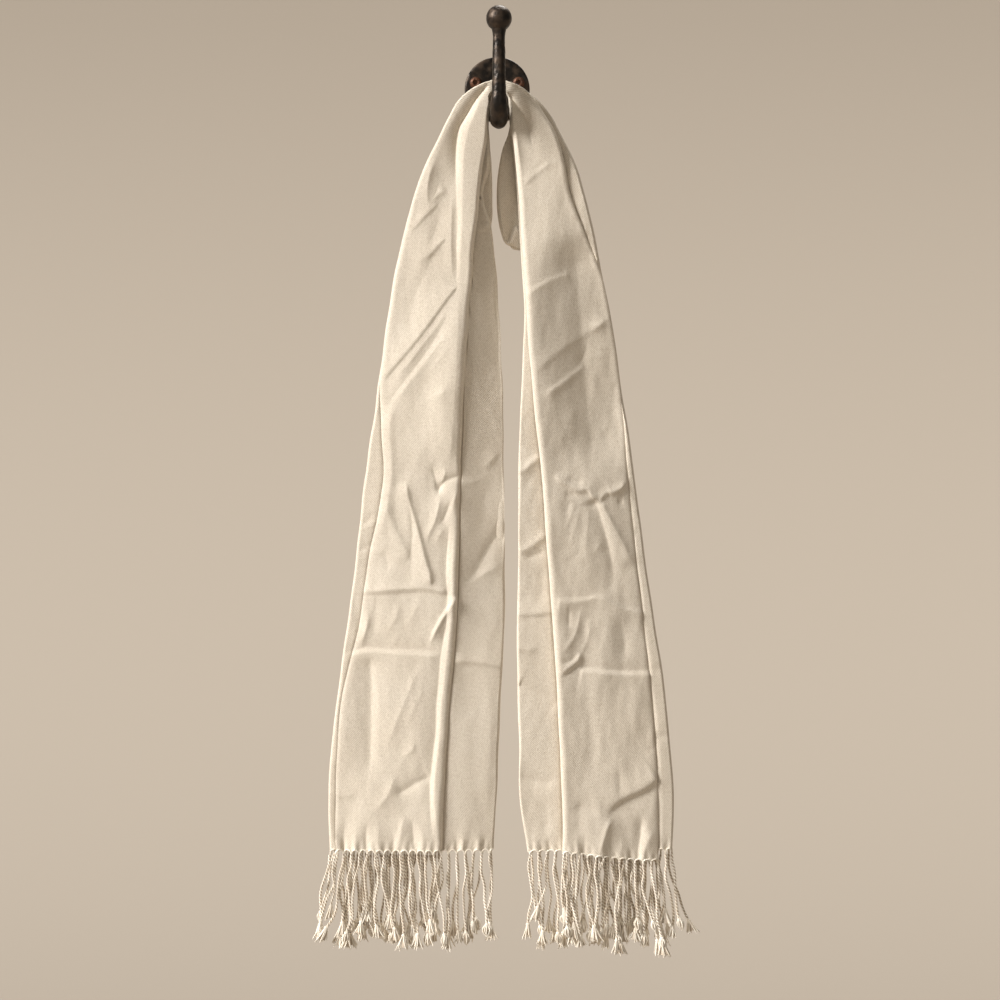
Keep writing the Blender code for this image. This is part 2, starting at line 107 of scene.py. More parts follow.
crease = {
    "edge": 0.7,  # half the width over which one side of a crease turns into the other
    "crest": (0.25, 0.03),  # how round its crest is: the least, and the growth with width squared
    "reach": 4.2,  # how far from its path it is worked out, in widths
    "lineSteps": 4,  # straight steps for each point of its path
    "fade": (0.35, 0.35),  # shares of the path over which it fades in and out, if it gives none
    "leastFade": 1e-5,
}


def pressedFold(away, width):
    # exp((crest - hypot(away, crest)) / width): 1 on the crest, falling off on both sides
    least, growth = crease["crest"]
    crest = least + growth * width ** 2
    return np.exp((crest - np.hypot(away, crest)) / width)


def creaseHeight(x, z, creases):
    # the sum over the creases of height * pressedFold(distance from the path) * fade; the left
    # and right sides of a path have widths of their own
    total = np.zeros_like(x)
    for path, leftWidth, rightWidth, height, *fades in creases:
        path = np.reshape(path, (-1, 2)).astype(float)
        run = travel(path)
        line = throughPoints(run, path, np.linspace(0, run[-1], crease["lineSteps"] * len(path)))
        reach = crease["reach"] * max(leftWidth, rightWidth)
        near = (x > line[:, 0].min() - reach) & (x < line[:, 0].max() + reach)
        near &= (z > line[:, 1].min() - reach) & (z < line[:, 1].max() + reach)
        px, pz = x[near], z[near]
        if not px.size:
            continue
        best, side, along = np.full(px.shape, np.inf), np.zeros(px.shape), np.zeros(px.shape)
        for number, (start, step) in enumerate(zip(line[:-1], np.diff(line, axis=0))):
            dx, dz = px - start[0], pz - start[1]
            part = np.clip((dx * step[0] + dz * step[1]) / (step @ step), 0, 1)
            away = np.hypot(dx - part * step[0], dz - part * step[1])
            closer = away < best
            best = np.where(closer, away, best)
            side = np.where(closer, np.sign(step[0] * dz - step[1] * dx), side)
            along = np.where(closer, (number + part) / (len(line) - 1), along)
        offset = best * side
        over = smoothStep(offset, -crease["edge"], crease["edge"])
        lift = height * (pressedFold(np.minimum(offset, 0), leftWidth) * (1 - over)
                         + pressedFold(np.maximum(offset, 0), rightWidth) * over)
        least = crease["leastFade"]
        for share, fade in zip((along, 1 - along), fades or crease["fade"]):
            lift = lift * smoothStep(share, -least / 10, max(fade, least))
        total[near] += lift
    return total


# ways of making meshes


def addObject(name, data):
    made = bpy.data.objects.new(name, data)
    scene.collection.objects.link(made)
    return made


def facingOut(points, faceSets):
    # the faces of a closed shape, turned round where they enclose a negative volume
    volume = 0.0
    for faces in faceSets:
        corners = points[faces]
        for third in range(2, faces.shape[1]):
            volume += (corners[:, 0] * np.cross(corners[:, third - 1], corners[:, third])).sum()
    return [faces[:, ::-1] for faces in faceSets] if volume < 0 else list(faceSets)


def makePiece(name, points, faceSets, material, uv=None, sharpAngle=55):
    # a mesh object from points in millimetres
    mesh = bpy.data.meshes.new(name)
    mesh.from_pydata((points * mm).tolist(), [], [face for faces in faceSets for face in faces.tolist()])
    if uv is not None:
        layer = mesh.uv_layers.new(name="cloth")
        corner = np.empty(len(mesh.loops), np.int32)
        mesh.loops.foreach_get("vertex_index", corner)
        layer.data.foreach_set("uv", (uv[corner] * mm).astype(np.float32).ravel())
    mesh.shade_smooth()
    mesh.set_sharp_from_angle(angle=math.radians(sharpAngle))
    mesh.materials.append(material)
    print(f"{name}: {sum(len(faces) * (faces.shape[1] - 2) for faces in faceSets)} triangles")
    return addObject(name, mesh)


def gridNormals(grid):
    # square to the grid: the cross product of its two directions
    return unit(np.cross(np.gradient(grid, axis=1), np.gradient(grid, axis=0)))


def clothShell(name, grid, normal, uv, material, thickness):
    # the grid moved half the thickness to each side, and closed all round its rim
    rows, columns = grid.shape[:2]
    total = rows * columns
    lift = normal * thickness / 2
    points = np.concatenate([(grid + lift).reshape(-1, 3), (grid - lift).reshape(-1, 3)])
    index = np.arange(total).reshape(rows, columns)
    quads = np.stack([index[:-1, :-1], index[:-1, 1:], index[1:, 1:], index[1:, :-1]], -1).reshape(-1, 4)
    rim = np.concatenate([index[0, :-1], index[:-1, -1], index[-1, :0:-1], index[:0:-1, 0]])
    onward = np.roll(rim, -1)
    edge = np.stack([onward, rim, rim + total, onward + total], -1)
    faceSets = facingOut(points, [quads, quads[:, ::-1] + total, edge])
    return makePiece(name, points, faceSets, material, np.concatenate([uv.reshape(-1, 2)] * 2))


def ringFaces(lines, rings, sides):
    # the side faces and the end faces of tubes whose points run round each ring
    index = np.arange(lines * rings * sides).reshape(lines, rings, sides)
    onward = np.roll(index, -1, axis=2)
    around = np.stack([index[:, :-1], onward[:, :-1], onward[:, 1:], index[:, 1:]], -1).reshape(-1, 4)
    return around, np.concatenate([index[:, 0, ::-1], index[:, -1]])


def tubes(centres, radii, angle=None, besides=(0, 1, 0.02)):
    # one closed tube along each line of centres (line, ring, xyz): centre + radius * (cos(angle)
    # * across + sin(angle) * deep). radii has a value for each line, ring and side, and so may
    # angle; besides is a direction that no line runs along
    sides = radii.shape[2]
    ahead = unit(np.gradient(centres, axis=1))
    across = unit(np.cross(ahead, np.array(besides)))
    deep = np.cross(across, ahead)
    angle = np.arange(sides) * fullTurn / sides if angle is None else angle
    points = centres[:, :, None] + radii[..., None] * (
        np.cos(angle)[..., None] * across[:, :, None] + np.sin(angle)[..., None] * deep[:, :, None])
    return points.reshape(-1, 3), *ringFaces(*radii.shape)


def joinShapes(shapes):
    # several closed (points, faces, faces...) as one, the numbers of their points moved on
    points, faceSets, before = [], [], 0
    for shape, *sets in shapes:
        points.append(shape)
        faceSets += [faces + before for faces in facingOut(shape, sets)]
        before += len(shape)
    return np.concatenate(points), faceSets


# ways of making materials


def feed(tree, socket, value):
    # a socket is linked to the other one, and a number or colour is set on it
    if isinstance(value, bpy.types.NodeSocket):
        tree.links.new(value, socket)
    else:
        socket.default_value = (*value, 1) if socket.type == "RGBA" else value


def addNode(tree, kind, values=None, **settings):
    # a node with its settings; values are numbers or the sockets that feed its inputs
    node = tree.nodes.new(kind)
    for key, value in settings.items():
        setattr(node, key, value)
    for key, value in (values or {}).items():
        feed(tree, node.inputs[key], value)
    return node


def noise(tree, vector, scale, detail):
    values = {"Vector": vector, "Scale": scale, "Detail": detail}
    return addNode(tree, "ShaderNodeTexNoise", values).outputs["Fac"]


def mathNode(tree, operation, *values):
    return addNode(tree, "ShaderNodeMath", dict(enumerate(values)), operation=operation).outputs[0]


def mixColours(tree, share, first, second):
    # inputs 0, 6 and 7 of a Mix node are its factor and its two colours, and output 2 its colour
    return addNode(tree, "ShaderNodeMix", {0: share, 6: first, 7: second}, data_type="RGBA").outputs[2]


def newGroup(name, inputs, outputs):
    # a shader group; inputs are a value by socket name, with None for a vector
    group = bpy.data.node_groups.new(name, "ShaderNodeTree")
    for label, value in inputs.items():
        kind = "NodeSocketVector" if value is None else "NodeSocketFloat"
        socket = group.interface.new_socket(label, in_out="INPUT", socket_type=kind)
        if value is not None:
            socket.default_value = value
    for label in outputs:
        group.interface.new_socket(label, in_out="OUTPUT", socket_type="NodeSocketFloat")
    return group, group.nodes.new("NodeGroupInput").outputs, group.nodes.new("NodeGroupOutput").inputs


def newMaterial(name, **values):
    # a Principled material; an underscore in a name here is a space in the socket's name
    material = bpy.data.materials.new(name)
    material.use_nodes = True
    tree = material.node_tree
    shader = tree.nodes["Principled BSDF"].inputs
    for key, value in values.items():
        feed(tree, shader[key.replace("_", " ")], value)
    return material, tree, shader


# cloth

cloth = {
    "thickness": 0.7,
    "rowStep": 2.1,
    "hemRows": 5,  # rows of each tail that belong to its hem band
    "columns": {"flap": 5, "fold": 6, "innerFold": 10, "front": 82, "inside": 5, "outside": 12,
                "rear": 42, "back": 24},
    "crowding": {"rear": 1.5, "outside": 1.6},  # of the columns towards the outer edge
    "share": {"flap": 0.8, "front": 1.0, "middle": 0.5, "rear": 0.25, "back": 0.1},  # of the front creases
    "middleDepth": (-32.0, -29.0),  # at the hook, and well below it
    "hookReach": 40.0,
    "settle": 120.0,
    "roundestFold": 0.09,
    # how far below the hook each of these sets in
    "setsIn": {"low": (450, 620), "rise": (130, 230), "easeBack": (90, 220), "strip": (30, 110),
               "tilt": (80, 300), "slack": (20, 200)},
    # over which stretch each of these begins, as shares of the cut from the front panel's edge
    "edges": {"rise": (-0.03, 0.004), "easeBack": (-0.3, 0), "strip": (-0.03, 0.012)},
    "roll": {"left": (0.045, 5.6, 7.0), "right": (0.07, 6.0, 5.0)},  # share of the cut, inner and outer
    "tilt": {"left": 6.0, "right": 23.0},  # how far the outer edge lies behind the inner one
    "rise": {"left": (2.3, 2.25), "right": (0.3, 0.9)},  # of the rear layer beside the front, in pitches
    "fall": (1.35, 0.35),  # of that rise towards the inner edge, and how much less it is down low
    "leastInner": 0.1,
    "strip": {"left": 0.7, "right": 1.35},  # of the middle layer outside the front, in pitches
    "easeBack": {"left": 0.3, "right": 0.5},  # of the front panel towards its outer edge, in pitches
    "flapStart": 0.15,
    "middleSeam": 0.74,
    "backReach": 0.93,
    "creaseScale": 1.25,
    "layerScale": (1.0, 1.0, 2.5),  # of every crease on the front, rear and back layers
    "fineCreases": (90, 60, 60),  # crinkles on the front, rear and back layers
    "layerWaves": (0.36, 0.36, 1.4),
    "longWaves": (58, 200),  # their length across and along
    "shortWaves": (17, 40),
    "shortHeight": (0.07, 0.3),  # below the hook, and the share of it at the hook
    "sideways": (0.3, 40.0, 80, 120),  # height, width of a cut, length across and along
}
# lengths, leans, heights and widths of the strewn crinkles: least and most, or mean and spread
crinkle = {"top": -60.0, "lean": (0.7, 0.55), "length": (10, 34), "height": (0, 0.22),
           "width": (1.4, 3.2), "bow": (0, 0.12), "fade": (0.45, 0.45)}

# Cuts through the pleated scarf: inner end x and z, outer end x and z, where the front panel
# begins and ends along the cut, depth from one layer to the next, and how far the rear panel
# is drawn forward into the hook. The left tail runs up from its hem to the hook's arm.
leftTail = (
    (-4.6, -802, -175.5, -802, 0.312, 0.965, 4.2, 0),
    (-1.4, -757, -177.6, -757, 0.311, 0.955, 4.2, 0),
    (1, -705, -175, -705, 0.311, 0.960, 4.2, 0),
    (3.8, -640, -167.6, -640, 0.308, 0.970, 4.3, 0),
    (7.2, -572, -158, -572, 0.305, 0.925, 4.4, 0),
    (8, -500, -148.5, -500, 0.308, 0.915, 4.5, 0),
    (7, -418, -140, -418, 0.311, 0.865, 4.6, 0),
    (5.5, -316, -125, -316, 0.305, 0.980, 4.8, 0),
    (1, -225, -112, -225, 0.260, 0.985, 5, 0),
    (-6, -151, -96.8, -151, 0.176, 0.985, 5.6, 0),
    (-14.5, -112, -86, -112, 0.05, 0.985, 6.2, 0),
    (-7.6, -84, -75.5, -84, 0.11, 0.980, 6.8, 0),
    (-7.9, -60, -63, -59, 0.06, 0.975, 7.6, 1),
    (-9.2, -40, -52, -37, 0.02, 0.970, 8, 3),
    (-8, -28, -40, -17, 0.03, 0.965, 8.2, 4),
    (-6.2, -22.5, -27, -6, 0.10, 0.960, 8.2, 6),
    (-3.7, -19.8, -12, 1, 0.40, 0.960, 8.2, 9),
)
overArm = (1.9, -18.1, 1, 4, 0.45, 0.950, 8.2, 12)
rightTail = (
    (7.5, -19.8, 14, 1.5, 0.35, 0.940, 8.2, 8),
    (10.8, -22.5, 28, -4.5, 0.09, 0.930, 8.2, 4),
    (12.6, -28, 42, -15, 0.03, 0.860, 8.2, 3),
    (13.4, -40, 54.5, -29, 0.02, 0.840, 8, 2),
    (16, -60, 66, -50, 0.02, 0.880, 7.6, 1),
    (18.3, -84, 82.5, -84, 0.02, 0.810, 6.8, 0),
    (20.9, -112, 91, -112, 0.02, 0.780, 6.2, 0),
    (23.4, -151, 101, -151, 0.02, 0.858, 5.6, 0),
    (26, -193, 109.5, -193, 0.02, 0.980, 5.4, 0),
    (28.4, -240, 119.5, -240, 0.025, 0.985, 5, 0),
    (25.6, -316, 131, -316, 0.105, 0.985, 4.8, 0),
    (22.6, -405, 144, -405, 0.195, 0.940, 4.6, 0),
    (22.2, -490, 155, -490, 0.227, 0.925, 4.5, 0),
    (20.8, -560, 165.5, -560, 0.255, 0.915, 4.4, 0),
    (20.8, -620, 175, -620, 0.267, 0.905, 4.3, 0),
    (23, -690, 182, -690, 0.267, 0.902, 4.2, 0),
    (23.6, -750, 186.4, -750, 0.275, 0.896, 4.2, 0),
    (31.9, -802, 184.6, -802, 0.243, 0.900, 4.2, 0),
)

# Creases: path (x, z, x, z...), width to its left and right, height (forward is positive), and
# the shares of the path over which it fades in and out. On a path that runs down, right is
# towards +x; on one that runs towards +x, right is above it.
leftFrontCreases = (
    # rolls and pleats at the hook
    ((-7, -1, -15, -9, -22, -18, -31, -33, -40, -48, -43, -65, -43, -90, -41.6, -125), 4.5, 2.2, -4, 0.08, 0.5),
    ((-13, -9, -20, -28, -29, -50, -34, -75, -35, -110, -36, -150, -38, -192, -39, -230),
     7, 34, 2.6, 0.1, 0.35),
    ((-10, -1, -33, -18, -48, -42, -60, -68, -70, -95, -73, -130), 10, 8, 1.4, 0, 0.3),
    ((-64, -78, -70, -95, -73, -113, -71, -134), 8, 4, 1.4),
    ((-47, -112, -48, -150, -48, -185, -45, -212), 8, 3, 1.2, 0.3, 0.3),
    ((-43, -106, -41.5, -150, -42.5, -190, -42, -222), 4, 1.4, -0.7, 0.3, 0.4),
    # shoulder creases
    ((-51, -112, -60, -116, -69, -124), 5, 2.5, 0.9),
    ((-61, -125, -74, -137, -95, -161), 7, 1.5, 0.8, 0.1, 0.4),
    ((-57, -127, -64, -150, -70, -174), 6, 7, -0.6),
    ((-55, -163, -64, -172, -70, -179, -78, -184, -88, -191), 6, 1.4, 0.8, 0.05, 0.5),
    ((-64, -171, -70, -188, -80, -210, -86, -228, -92, -250, -95, -275), 7, 13, -0.9, 0.12, 0.3),
    # long diagonal folds
    ((-40, -209, -53, -226, -67, -245, -81, -264, -95, -281, -108, -296, -122, -313), 12, 1.2, 1, 0.08, 0.1),
    ((-47, -226, -60, -250, -75, -270, -90, -290, -103, -305, -112, -320), 4, 2, 0.6),
    ((-48, -238, -62, -262, -75, -282, -92, -305, -110, -329, -115, -336), 3, 3, -0.45, 0.25, 0.08),
    ((-46, -250, -58, -268, -72, -287, -88, -308, -104, -330), 2.2, 8, 0.7, 0.2, 0.1),
    ((-44, -268, -55, -283, -71, -303), 4, 2.5, 0.4),
    ((-46, -317, -58, -324, -74, -331), 4, 7, 0.9),
    # the turned-back side of the front panel
    ((-41, -205, -42, -240, -43, -280, -44, -315, -46, -345, -49, -380, -51, -412), 22, 9, 3.2, 0.25, 0.2),
    # upper middle
    ((-107, -328, -112, -350, -111, -400, -113, -430, -118, -455, -123, -485), 8, 8, 2, 0.15, 0.3),
    ((-118, -436, -113, -452, -107, -466, -99, -482, -90, -498), 8, 4, 1.2, 0.2, 0.15),
    ((-97, -414, -91, -440, -86, -457, -80, -478, -75, -497, -70, -516, -69, -527), 9, 2.6, 2.2, 0.12, 0.08),
    ((-97, -425, -91, -447, -89, -470, -90, -497, -87, -515), 3, 5, -0.9),
    ((-70, -393, -66, -410, -63, -422, -62, -434), 2.5, 6, -1.2),
    ((-54, -401, -56, -412, -61, -422), 3, 2.5, 0.9),
    ((-38, -410, -48, -413, -56, -416.5, -60, -422, -61.5, -431), 3, 3, -1.7, 0.1, 0.2),
    ((-59, -430, -62, -447, -66, -460, -71, -470, -74, -484), 5, 3, 1.2, 0.2, 0.3),
    ((-48, -434, -53, -450, -61, -464), 4, 4, -1.4),
    ((-56, -465, -60, -472, -65, -482), 3, 2.5, 0.7),
    ((-37, -423, -43, -431, -46, -443, -46.5, -454), 3, 3, 1.1),
    ((-120, -486, -115, -497, -113, -512), 7, 6, -1),
    # the narrow pleat down the front panel's edge
    ((-49, -450, -52, -490, -53, -520, -52, -545, -55, -575, -59, -600, -62, -640, -65, -690, -68, -715,
      -70, -735, -69, -765, -67, -795), 7, 1.5, -1.3, 0.12, 0.12),
    ((-45, -455, -46, -490, -47, -520, -47, -545, -50, -575, -53, -600, -57, -640, -61, -690, -64, -715,
      -66, -735, -64, -765, -62, -795), 1.6, 8, 1, 0.15, 0.1),
    # step across the middle
    ((-143, -532, -130, -532, -115, -531, -95, -529.5, -72, -529, -62, -531, -50, -534.5),
     1.4, 8, 1.5, 0.06, 0.08),
    ((-143, -530, -115, -529, -72, -527, -50, -532.5), 2.4, 2.6, 0.3, 0.06, 0.08),
    ((-41, -536, -48, -546, -57, -559, -64, -571, -71, -588), 1.6, 4, 2, 0.06, 0.3),
    ((-134, -548, -136, -566, -140, -580, -145, -594), 3, 3, 1.2),
    ((-80, -536, -88, -556, -98, -572), 5, 4, 0.6),
    ((-100, -538, -107, -560, -118, -580), 5, 4, 0.6),
    ((-126, -534, -128, -558, -130, -585), 6, 6, -0.9),
    ((-163, -596, -150, -595, -140, -591.5, -120, -592, -95, -593, -72, -594, -57, -597),
     1.8, 9, -1.3, 0.08, 0.12),
    ((-162, -599, -140, -595, -95, -597, -60, -600), 6, 1.8, 0.8, 0.08, 0.12),
    # lower part
    ((-133, -598, -132, -650, -133, -700, -136, -742), 11, 5, -1.9, 0.1, 0.3),
    ((-77, -601, -88, -625, -98, -650, -110, -680, -119, -704), 6, 5, 1),
    ((-72, -625, -85, -650, -98, -680), 5, 4, 0.6),
    ((-69, -725, -84, -732, -101, -742, -112, -745), 6, 4.5, -1.7, 0.1, 0.35),
    ((-182, -745, -165, -746, -146, -748), 2, 9, 0.9),
    ((-106, -722, -115, -745, -131, -765), 5, 5, 1.1),
    ((-95, -762, -100, -780, -104, -803), 4, 5, 1.1, 0.3, 0.1),
    ((-84, -690, -90, -698, -99, -704), 4, 3, 0.8),
    ((-170, -640, -168, -690, -171, -735), 5, 7, 0.9),
    # side strip
    ((-127, -338, -123, -348, -121.5, -358), 2.5, 2.5, -1),
    ((-147, -492, -141, -487, -131, -480), 3, 3, -1.2, 0.15, 0.15),
    ((-144, -461, -137, -458, -129, -449), 3, 3, -1.2, 0.15, 0.15),
    ((-143, -467, -136, -463, -128, -455), 2.5, 2.5, 0.8),
    ((-152, -528, -147, -554, -143, -582), 3, 3, -1.4),
    # hem gathers
    ((-169, -772, -170, -803, -170, -824), 4, 3, 1.6, 0.6, 0),
    ((-160, -770, -161, -803, -161, -824), 4, 4, -1.9, 0.6, 0),
    ((-147, -768, -149, -803, -149, -824), 5, 5, 1.6, 0.6, 0),
    ((-135, -762, -138, -803, -138, -824), 5, 4, -2, 0.6, 0),
    ((-123, -770, -126, -803, -126, -824), 5, 5, 1.4, 0.6, 0),
    ((-109, -776, -108, -803, -108, -824), 4, 4, -1.4, 0.6, 0),
    ((-90, -764, -87, -803, -87, -824), 4, 4, -2, 0.6, 0),
    ((-80, -770, -77, -803, -77, -824), 4, 5, 1.7, 0.6, 0),
)
rightFrontCreases = (
    # rolls and pleats at the hook
    ((10, -9, 17, -19, 22, -27, 27, -34, 31, -42, 34, -54, 38, -72), 3, 4, -3.6, 0.12, 0.5),
    ((12, -16, 16, -30, 19, -50, 23, -80, 28, -112), 5, 4, 1.6, 0.1, 0.5),
    ((13, -3, 26, -14, 36, -28, 42, -45, 47, -65, 51, -88), 8, 14, 1, 0.05, 0.35),
    ((17, -3, 28, -11, 40, -23, 50, -34, 59, -46), 2.4, 3, -2, 0.1, 0.2),
    ((67, -58, 76, -85, 83, -110), 4, 5, 1.3),
    ((86, -114, 90, -138, 97, -160), 4, 4, 1.2),
    # shoulder creases
    ((58, -82, 45, -92, 35, -100, 27, -107), 6, 2.2, 0.7, 0.2, 0.2),
    ((56, -79, 44, -87, 33, -95), 2, 5, -0.4),
    ((77, -198, 62, -203, 48, -210, 34, -219, 25, -228), 1.5, 7, 0.8, 0.1, 0.1),
    ((116, -247, 103, -254, 90, -263, 75, -273, 59, -285, 47, -296, 39, -304), 9, 4, 0.9, 0.1, 0.15),
    ((92, -293, 80, -303, 69, -312, 58, -320, 47, -328), 1.5, 9, 0.9, 0.1, 0.2),
    ((90, -304, 82, -310, 70, -319, 55, -330), 2.5, 9, -0.6),
    ((119, -243, 108, -252, 97, -261), 5, 4, 1.1),
    ((100, -174, 102, -187, 109, -199), 3, 3, 0.9),
    ((84, -333, 72, -362, 59, -390), 9, 8, 0.8),
    # middle valley
    ((79, -152, 83, -182, 86, -210, 89, -245, 91, -285, 94, -315, 98, -350, 100, -375, 102, -400, 105, -420),
     15, 21, -6.2, 0.15, 0.2),
    # crumple across the middle
    ((58, -409, 66, -416, 75, -421, 85, -426, 95, -425, 101, -433, 107, -437, 113, -430, 127, -426, 138, -417),
     1.6, 5, 1.4, 0.12, 0.08),
    ((72, -412, 82, -416, 92, -418), 3, 4, -0.8),
    ((70, -428, 78, -430, 84, -428), 3, 2, -0.7),
    ((117, -431, 126, -427, 139, -414), 2.6, 8, 0.8, 0.15, 0.05),
    ((101, -433, 106, -446, 110, -460, 116, -481, 120, -500, 122, -522), 8, 5, -1.9, 0.06, 0.4),
    ((109, -435, 118, -455, 126, -470, 135, -487, 145, -508), 9, 3.5, 1.5, 0.1, 0.2),
    ((83, -434, 76, -455, 68, -474), 4, 4, 0.45),
    ((89, -436, 82, -462, 74, -492), 4, 4, 0.4),
    ((97, -438, 94, -470, 92, -505), 5, 5, 0.6),
    ((78, -434, 71, -452), 4, 4, -0.5),
    ((126, -437, 134, -436.5), 3, 3, -1),
    # ridge across below it
    ((61, -541, 75, -541.5, 90, -540.5, 107, -538, 118, -542, 128, -548, 140, -551, 156, -555),
     9, 1.5, 1.2, 0.05, 0.04),
    ((122, -495, 121, -520, 117, -537), 11, 6, -1),
    ((75, -544, 75, -572), 4, 4, -1.1),
    ((88, -545, 85, -565, 80, -580, 73, -590, 66, -599), 4, 4, 1.1),
    ((98, -558, 96, -577, 91, -591, 87, -602), 5, 4, 0.8),
    ((130, -555, 133, -580, 136, -607), 9, 6, -1.2),
    # pinch and lower step
    ((65, -606.5, 74, -604.5, 80, -601, 85, -596), 3, 2, -0.8),
    ((87.5, -595, 85.5, -603, 79, -609, 72, -614, 65, -620), 5, 1.4, 1.5, 0.15, 0.35),
    ((89, -599, 86.5, -606, 80, -612, 73, -617, 66, -622), 1.8, 3, -0.8, 0.3, 0.35),
    ((86, -610, 100, -612, 115, -614, 135, -615.5, 163, -616), 1.8, 9, -1.3, 0.06, 0.04),
    ((86, -613.5, 100, -615.5, 135, -619, 163, -619), 8, 2.4, 1, 0.06, 0.04),
    ((79, -751, 92, -757, 109, -758), 4, 10, -0.9),
    ((95, -622, 98, -680, 100, -745), 12, 14, -1.6),
    ((129, -710, 129, -747), 5, 5, -0.8),
    ((144, -620, 145, -650, 143, -690), 9, 9, 0.8),
    ((170, -721, 157, -730, 145, -736, 134, -741, 123, -749, 117, -757), 12, 2.4, 1.5, 0.04, 0.3),
    ((170, -725, 157, -734, 144, -740, 132, -746, 122, -754, 115, -764), 2.4, 8, -1.3, 0.04, 0.2),
    ((122, -762, 116, -772, 112, -784, 108, -798, 104, -814), 4, 3.5, 1.7, 0.2, 0),
    ((153, -750, 151, -775, 148, -795, 146, -818), 7, 4, -1.8, 0.35, 0),
    ((167, -771, 159, -782, 154, -795, 152, -818), 5, 7, 1.2, 0.2, 0),
    # side strip
    ((141, -446, 149, -447), 3, 3, 1),
    ((143, -471, 152, -466), 3, 3, -1),
    ((161, -614.5, 175, -613), 4, 3, -1.3, 0.1, 0.1),
    ((165, -685, 183, -683), 5, 4, -1.5, 0.1, 0.1),
    # hem gathers
    ((90, -780, 93, -803, 93, -826), 4, 4, -1.6, 0.6, 0),
    ((84, -776, 83, -803, 83, -826), 5, 4, 1.4, 0.6, 0),
    ((119, -772, 119, -803, 119, -826), 4, 5, -1.5, 0.5, 0),
    ((131, -776, 131, -810, 131, -828), 5, 5, 1.4, 0.6, 0),
    ((138, -784, 140, -812, 140, -828), 4, 4, -1.2, 0.6, 0),
)
leftRearCreases = (
    ((5, -384, -5, -393, -16, -405), 5, 4, 1),
    ((6, -404, -29, -417, -60, -421), 4, 5, 0.6),
    ((8, -456, -2, -475, -12, -492, -22, -510, -35, -529), 5, 6, -1.6, 0.1, 0.2),
    ((8, -501, -15, -514, -35, -529), 5, 4, 1),
    ((-46, -604, -30, -605, 8, -611), 1.8, 8, 1.2, 0.1, 0.05),
    ((-8.4, -60, -7.6, -92, -11.5, -106, -16, -119), 7, 1, 3.2, 0.25, 0.02),
    ((-16, -118, -12, -130, -5, -149), 9, 1, 3.2, 0.03, 0.05),
    ((-6, -128, -5, -173, -3, -226, 1, -289), 8, 4, 1.2, 0.3, 0.5),
    ((-29, -310, -12, -331, 3, -362), 5, 5, 0.7),
    ((-6, -620, -8, -700, -11, -780), 14, 6, 1.2),
    ((-42, -774, -43, -803, -43, -824), 4, 4, -1.4, 0.6, 0),
    ((-36, -772, -36, -803, -36, -824), 4, 4, 1.2, 0.6, 0),
    ((-28, -778, -29, -803, -29, -824), 4, 4, -1.4, 0.6, 0),
    ((-20, -776, -20, -803, -20, -824), 4, 4, 1.3, 0.6, 0),
    ((-13, -780, -13, -803, -13, -824), 3, 3, -1.1, 0.6, 0),
)
rightRearCreases = (
    ((46, -389, 36, -397, 28, -404, 21, -405), 4, 5, 1.8, 0.1, 0.1),
    ((53, -471, 42, -479, 33, -486, 21, -490), 5, 4, 1.4, 0.1, 0.1),
    ((53, -488, 40, -493, 28, -497), 4, 3, -1.1),
    ((19, -556, 40, -555, 59, -553), 1.8, 8, 1.2, 0.05, 0.05),
    ((20, -591, 32, -592, 45, -593.5), 3, 4, 1, 0.05, 0.4),
    ((21, -629, 35, -636, 50, -642, 65, -652), 6, 5, -1.4, 0.05, 0.1),
    ((21, -727, 40, -730, 62, -733), 6, 6, -1.1, 0.05, 0.2),
    ((46, -500, 47, -550), 9, 8, -1),
    ((52, -742, 50, -792), 8, 6, -1.1),
    ((40, -778, 40, -803, 40, -824), 4, 4, 1.2, 0.6, 0),
    ((53, -780, 54, -803, 54, -824), 4, 4, -1.2, 0.6, 0),
)
leftBackCreases = (
    ((-20, -60, -48, -140, -70, -230), 12, 8, -0.7),
    ((-14, -176, -50, -200, -96, -214), 5, 8, -1.2),
    ((-10, -240, -60, -300, -110, -330), 4, 7, -1.5),
    ((-40, -330, -48, -420, -40, -500), 9, 7, -1.2),
    ((-128, -398, -96, -446, -64, -476), 3, 7, -1.1),
    ((-156, -566, -90, -560, -2, -552), 2.4, 6, -0.8, 0.1, 0.15),
    ((-40, -500, -52, -530, -58, -548), 2.2, 5, -0.8),
    ((-104, -596, -88, -628, -84, -650), 4, 2.2, -0.7),
    ((-150, -700, -126, -722, -112, -752), 3, 6, -0.8),
    ((-70, -600, -62, -660, -76, -740), 6, 8, -1.2),
    ((-168, -660, -100, -664, -8, -671), 6, 2.4, -0.7, 0.2, 0.1),
    ((-120, -770, -118, -802, -118, -820), 5, 6, -1.1, 0.6, 0),
    ((-52, -775, -50, -802, -50, -820), 6, 5, 1.1, 0.6, 0),
)
rightBackCreases = (
    ((24, -60, 50, -140, 74, -240), 8, 12, -0.7),
    ((34, -190, 70, -214, 108, -226), 6, 4, -1.2),
    ((36, -290, 80, -340, 120, -352), 6, 5, -1.4),
    ((60, -380, 66, -470, 58, -540), 8, 8, -1.1),
    ((34, -404, 70, -432, 112, -446), 3, 6, -1.1),
    ((26, -556, 90, -560, 158, -567), 2.4, 6, -0.8, 0.15, 0.1),
    ((118, -470, 104, -502, 100, -536), 5, 2.2, -0.8),
    ((60, -590, 74, -620, 80, -646), 2.2, 4, -0.7),
    ((150, -690, 132, -716, 122, -744), 3, 6, -0.8),
    ((110, -590, 118, -680, 108, -760), 7, 6, -1.2),
    ((30, -668, 110, -664, 176, -659), 6, 2.4, -0.7, 0.1, 0.2),
    ((84, -772, 86, -802, 86, -820), 5, 6, -1.1, 0.6, 0),
    ((140, -775, 140, -802, 140, -820), 6, 5, 1.1, 0.6, 0),
)

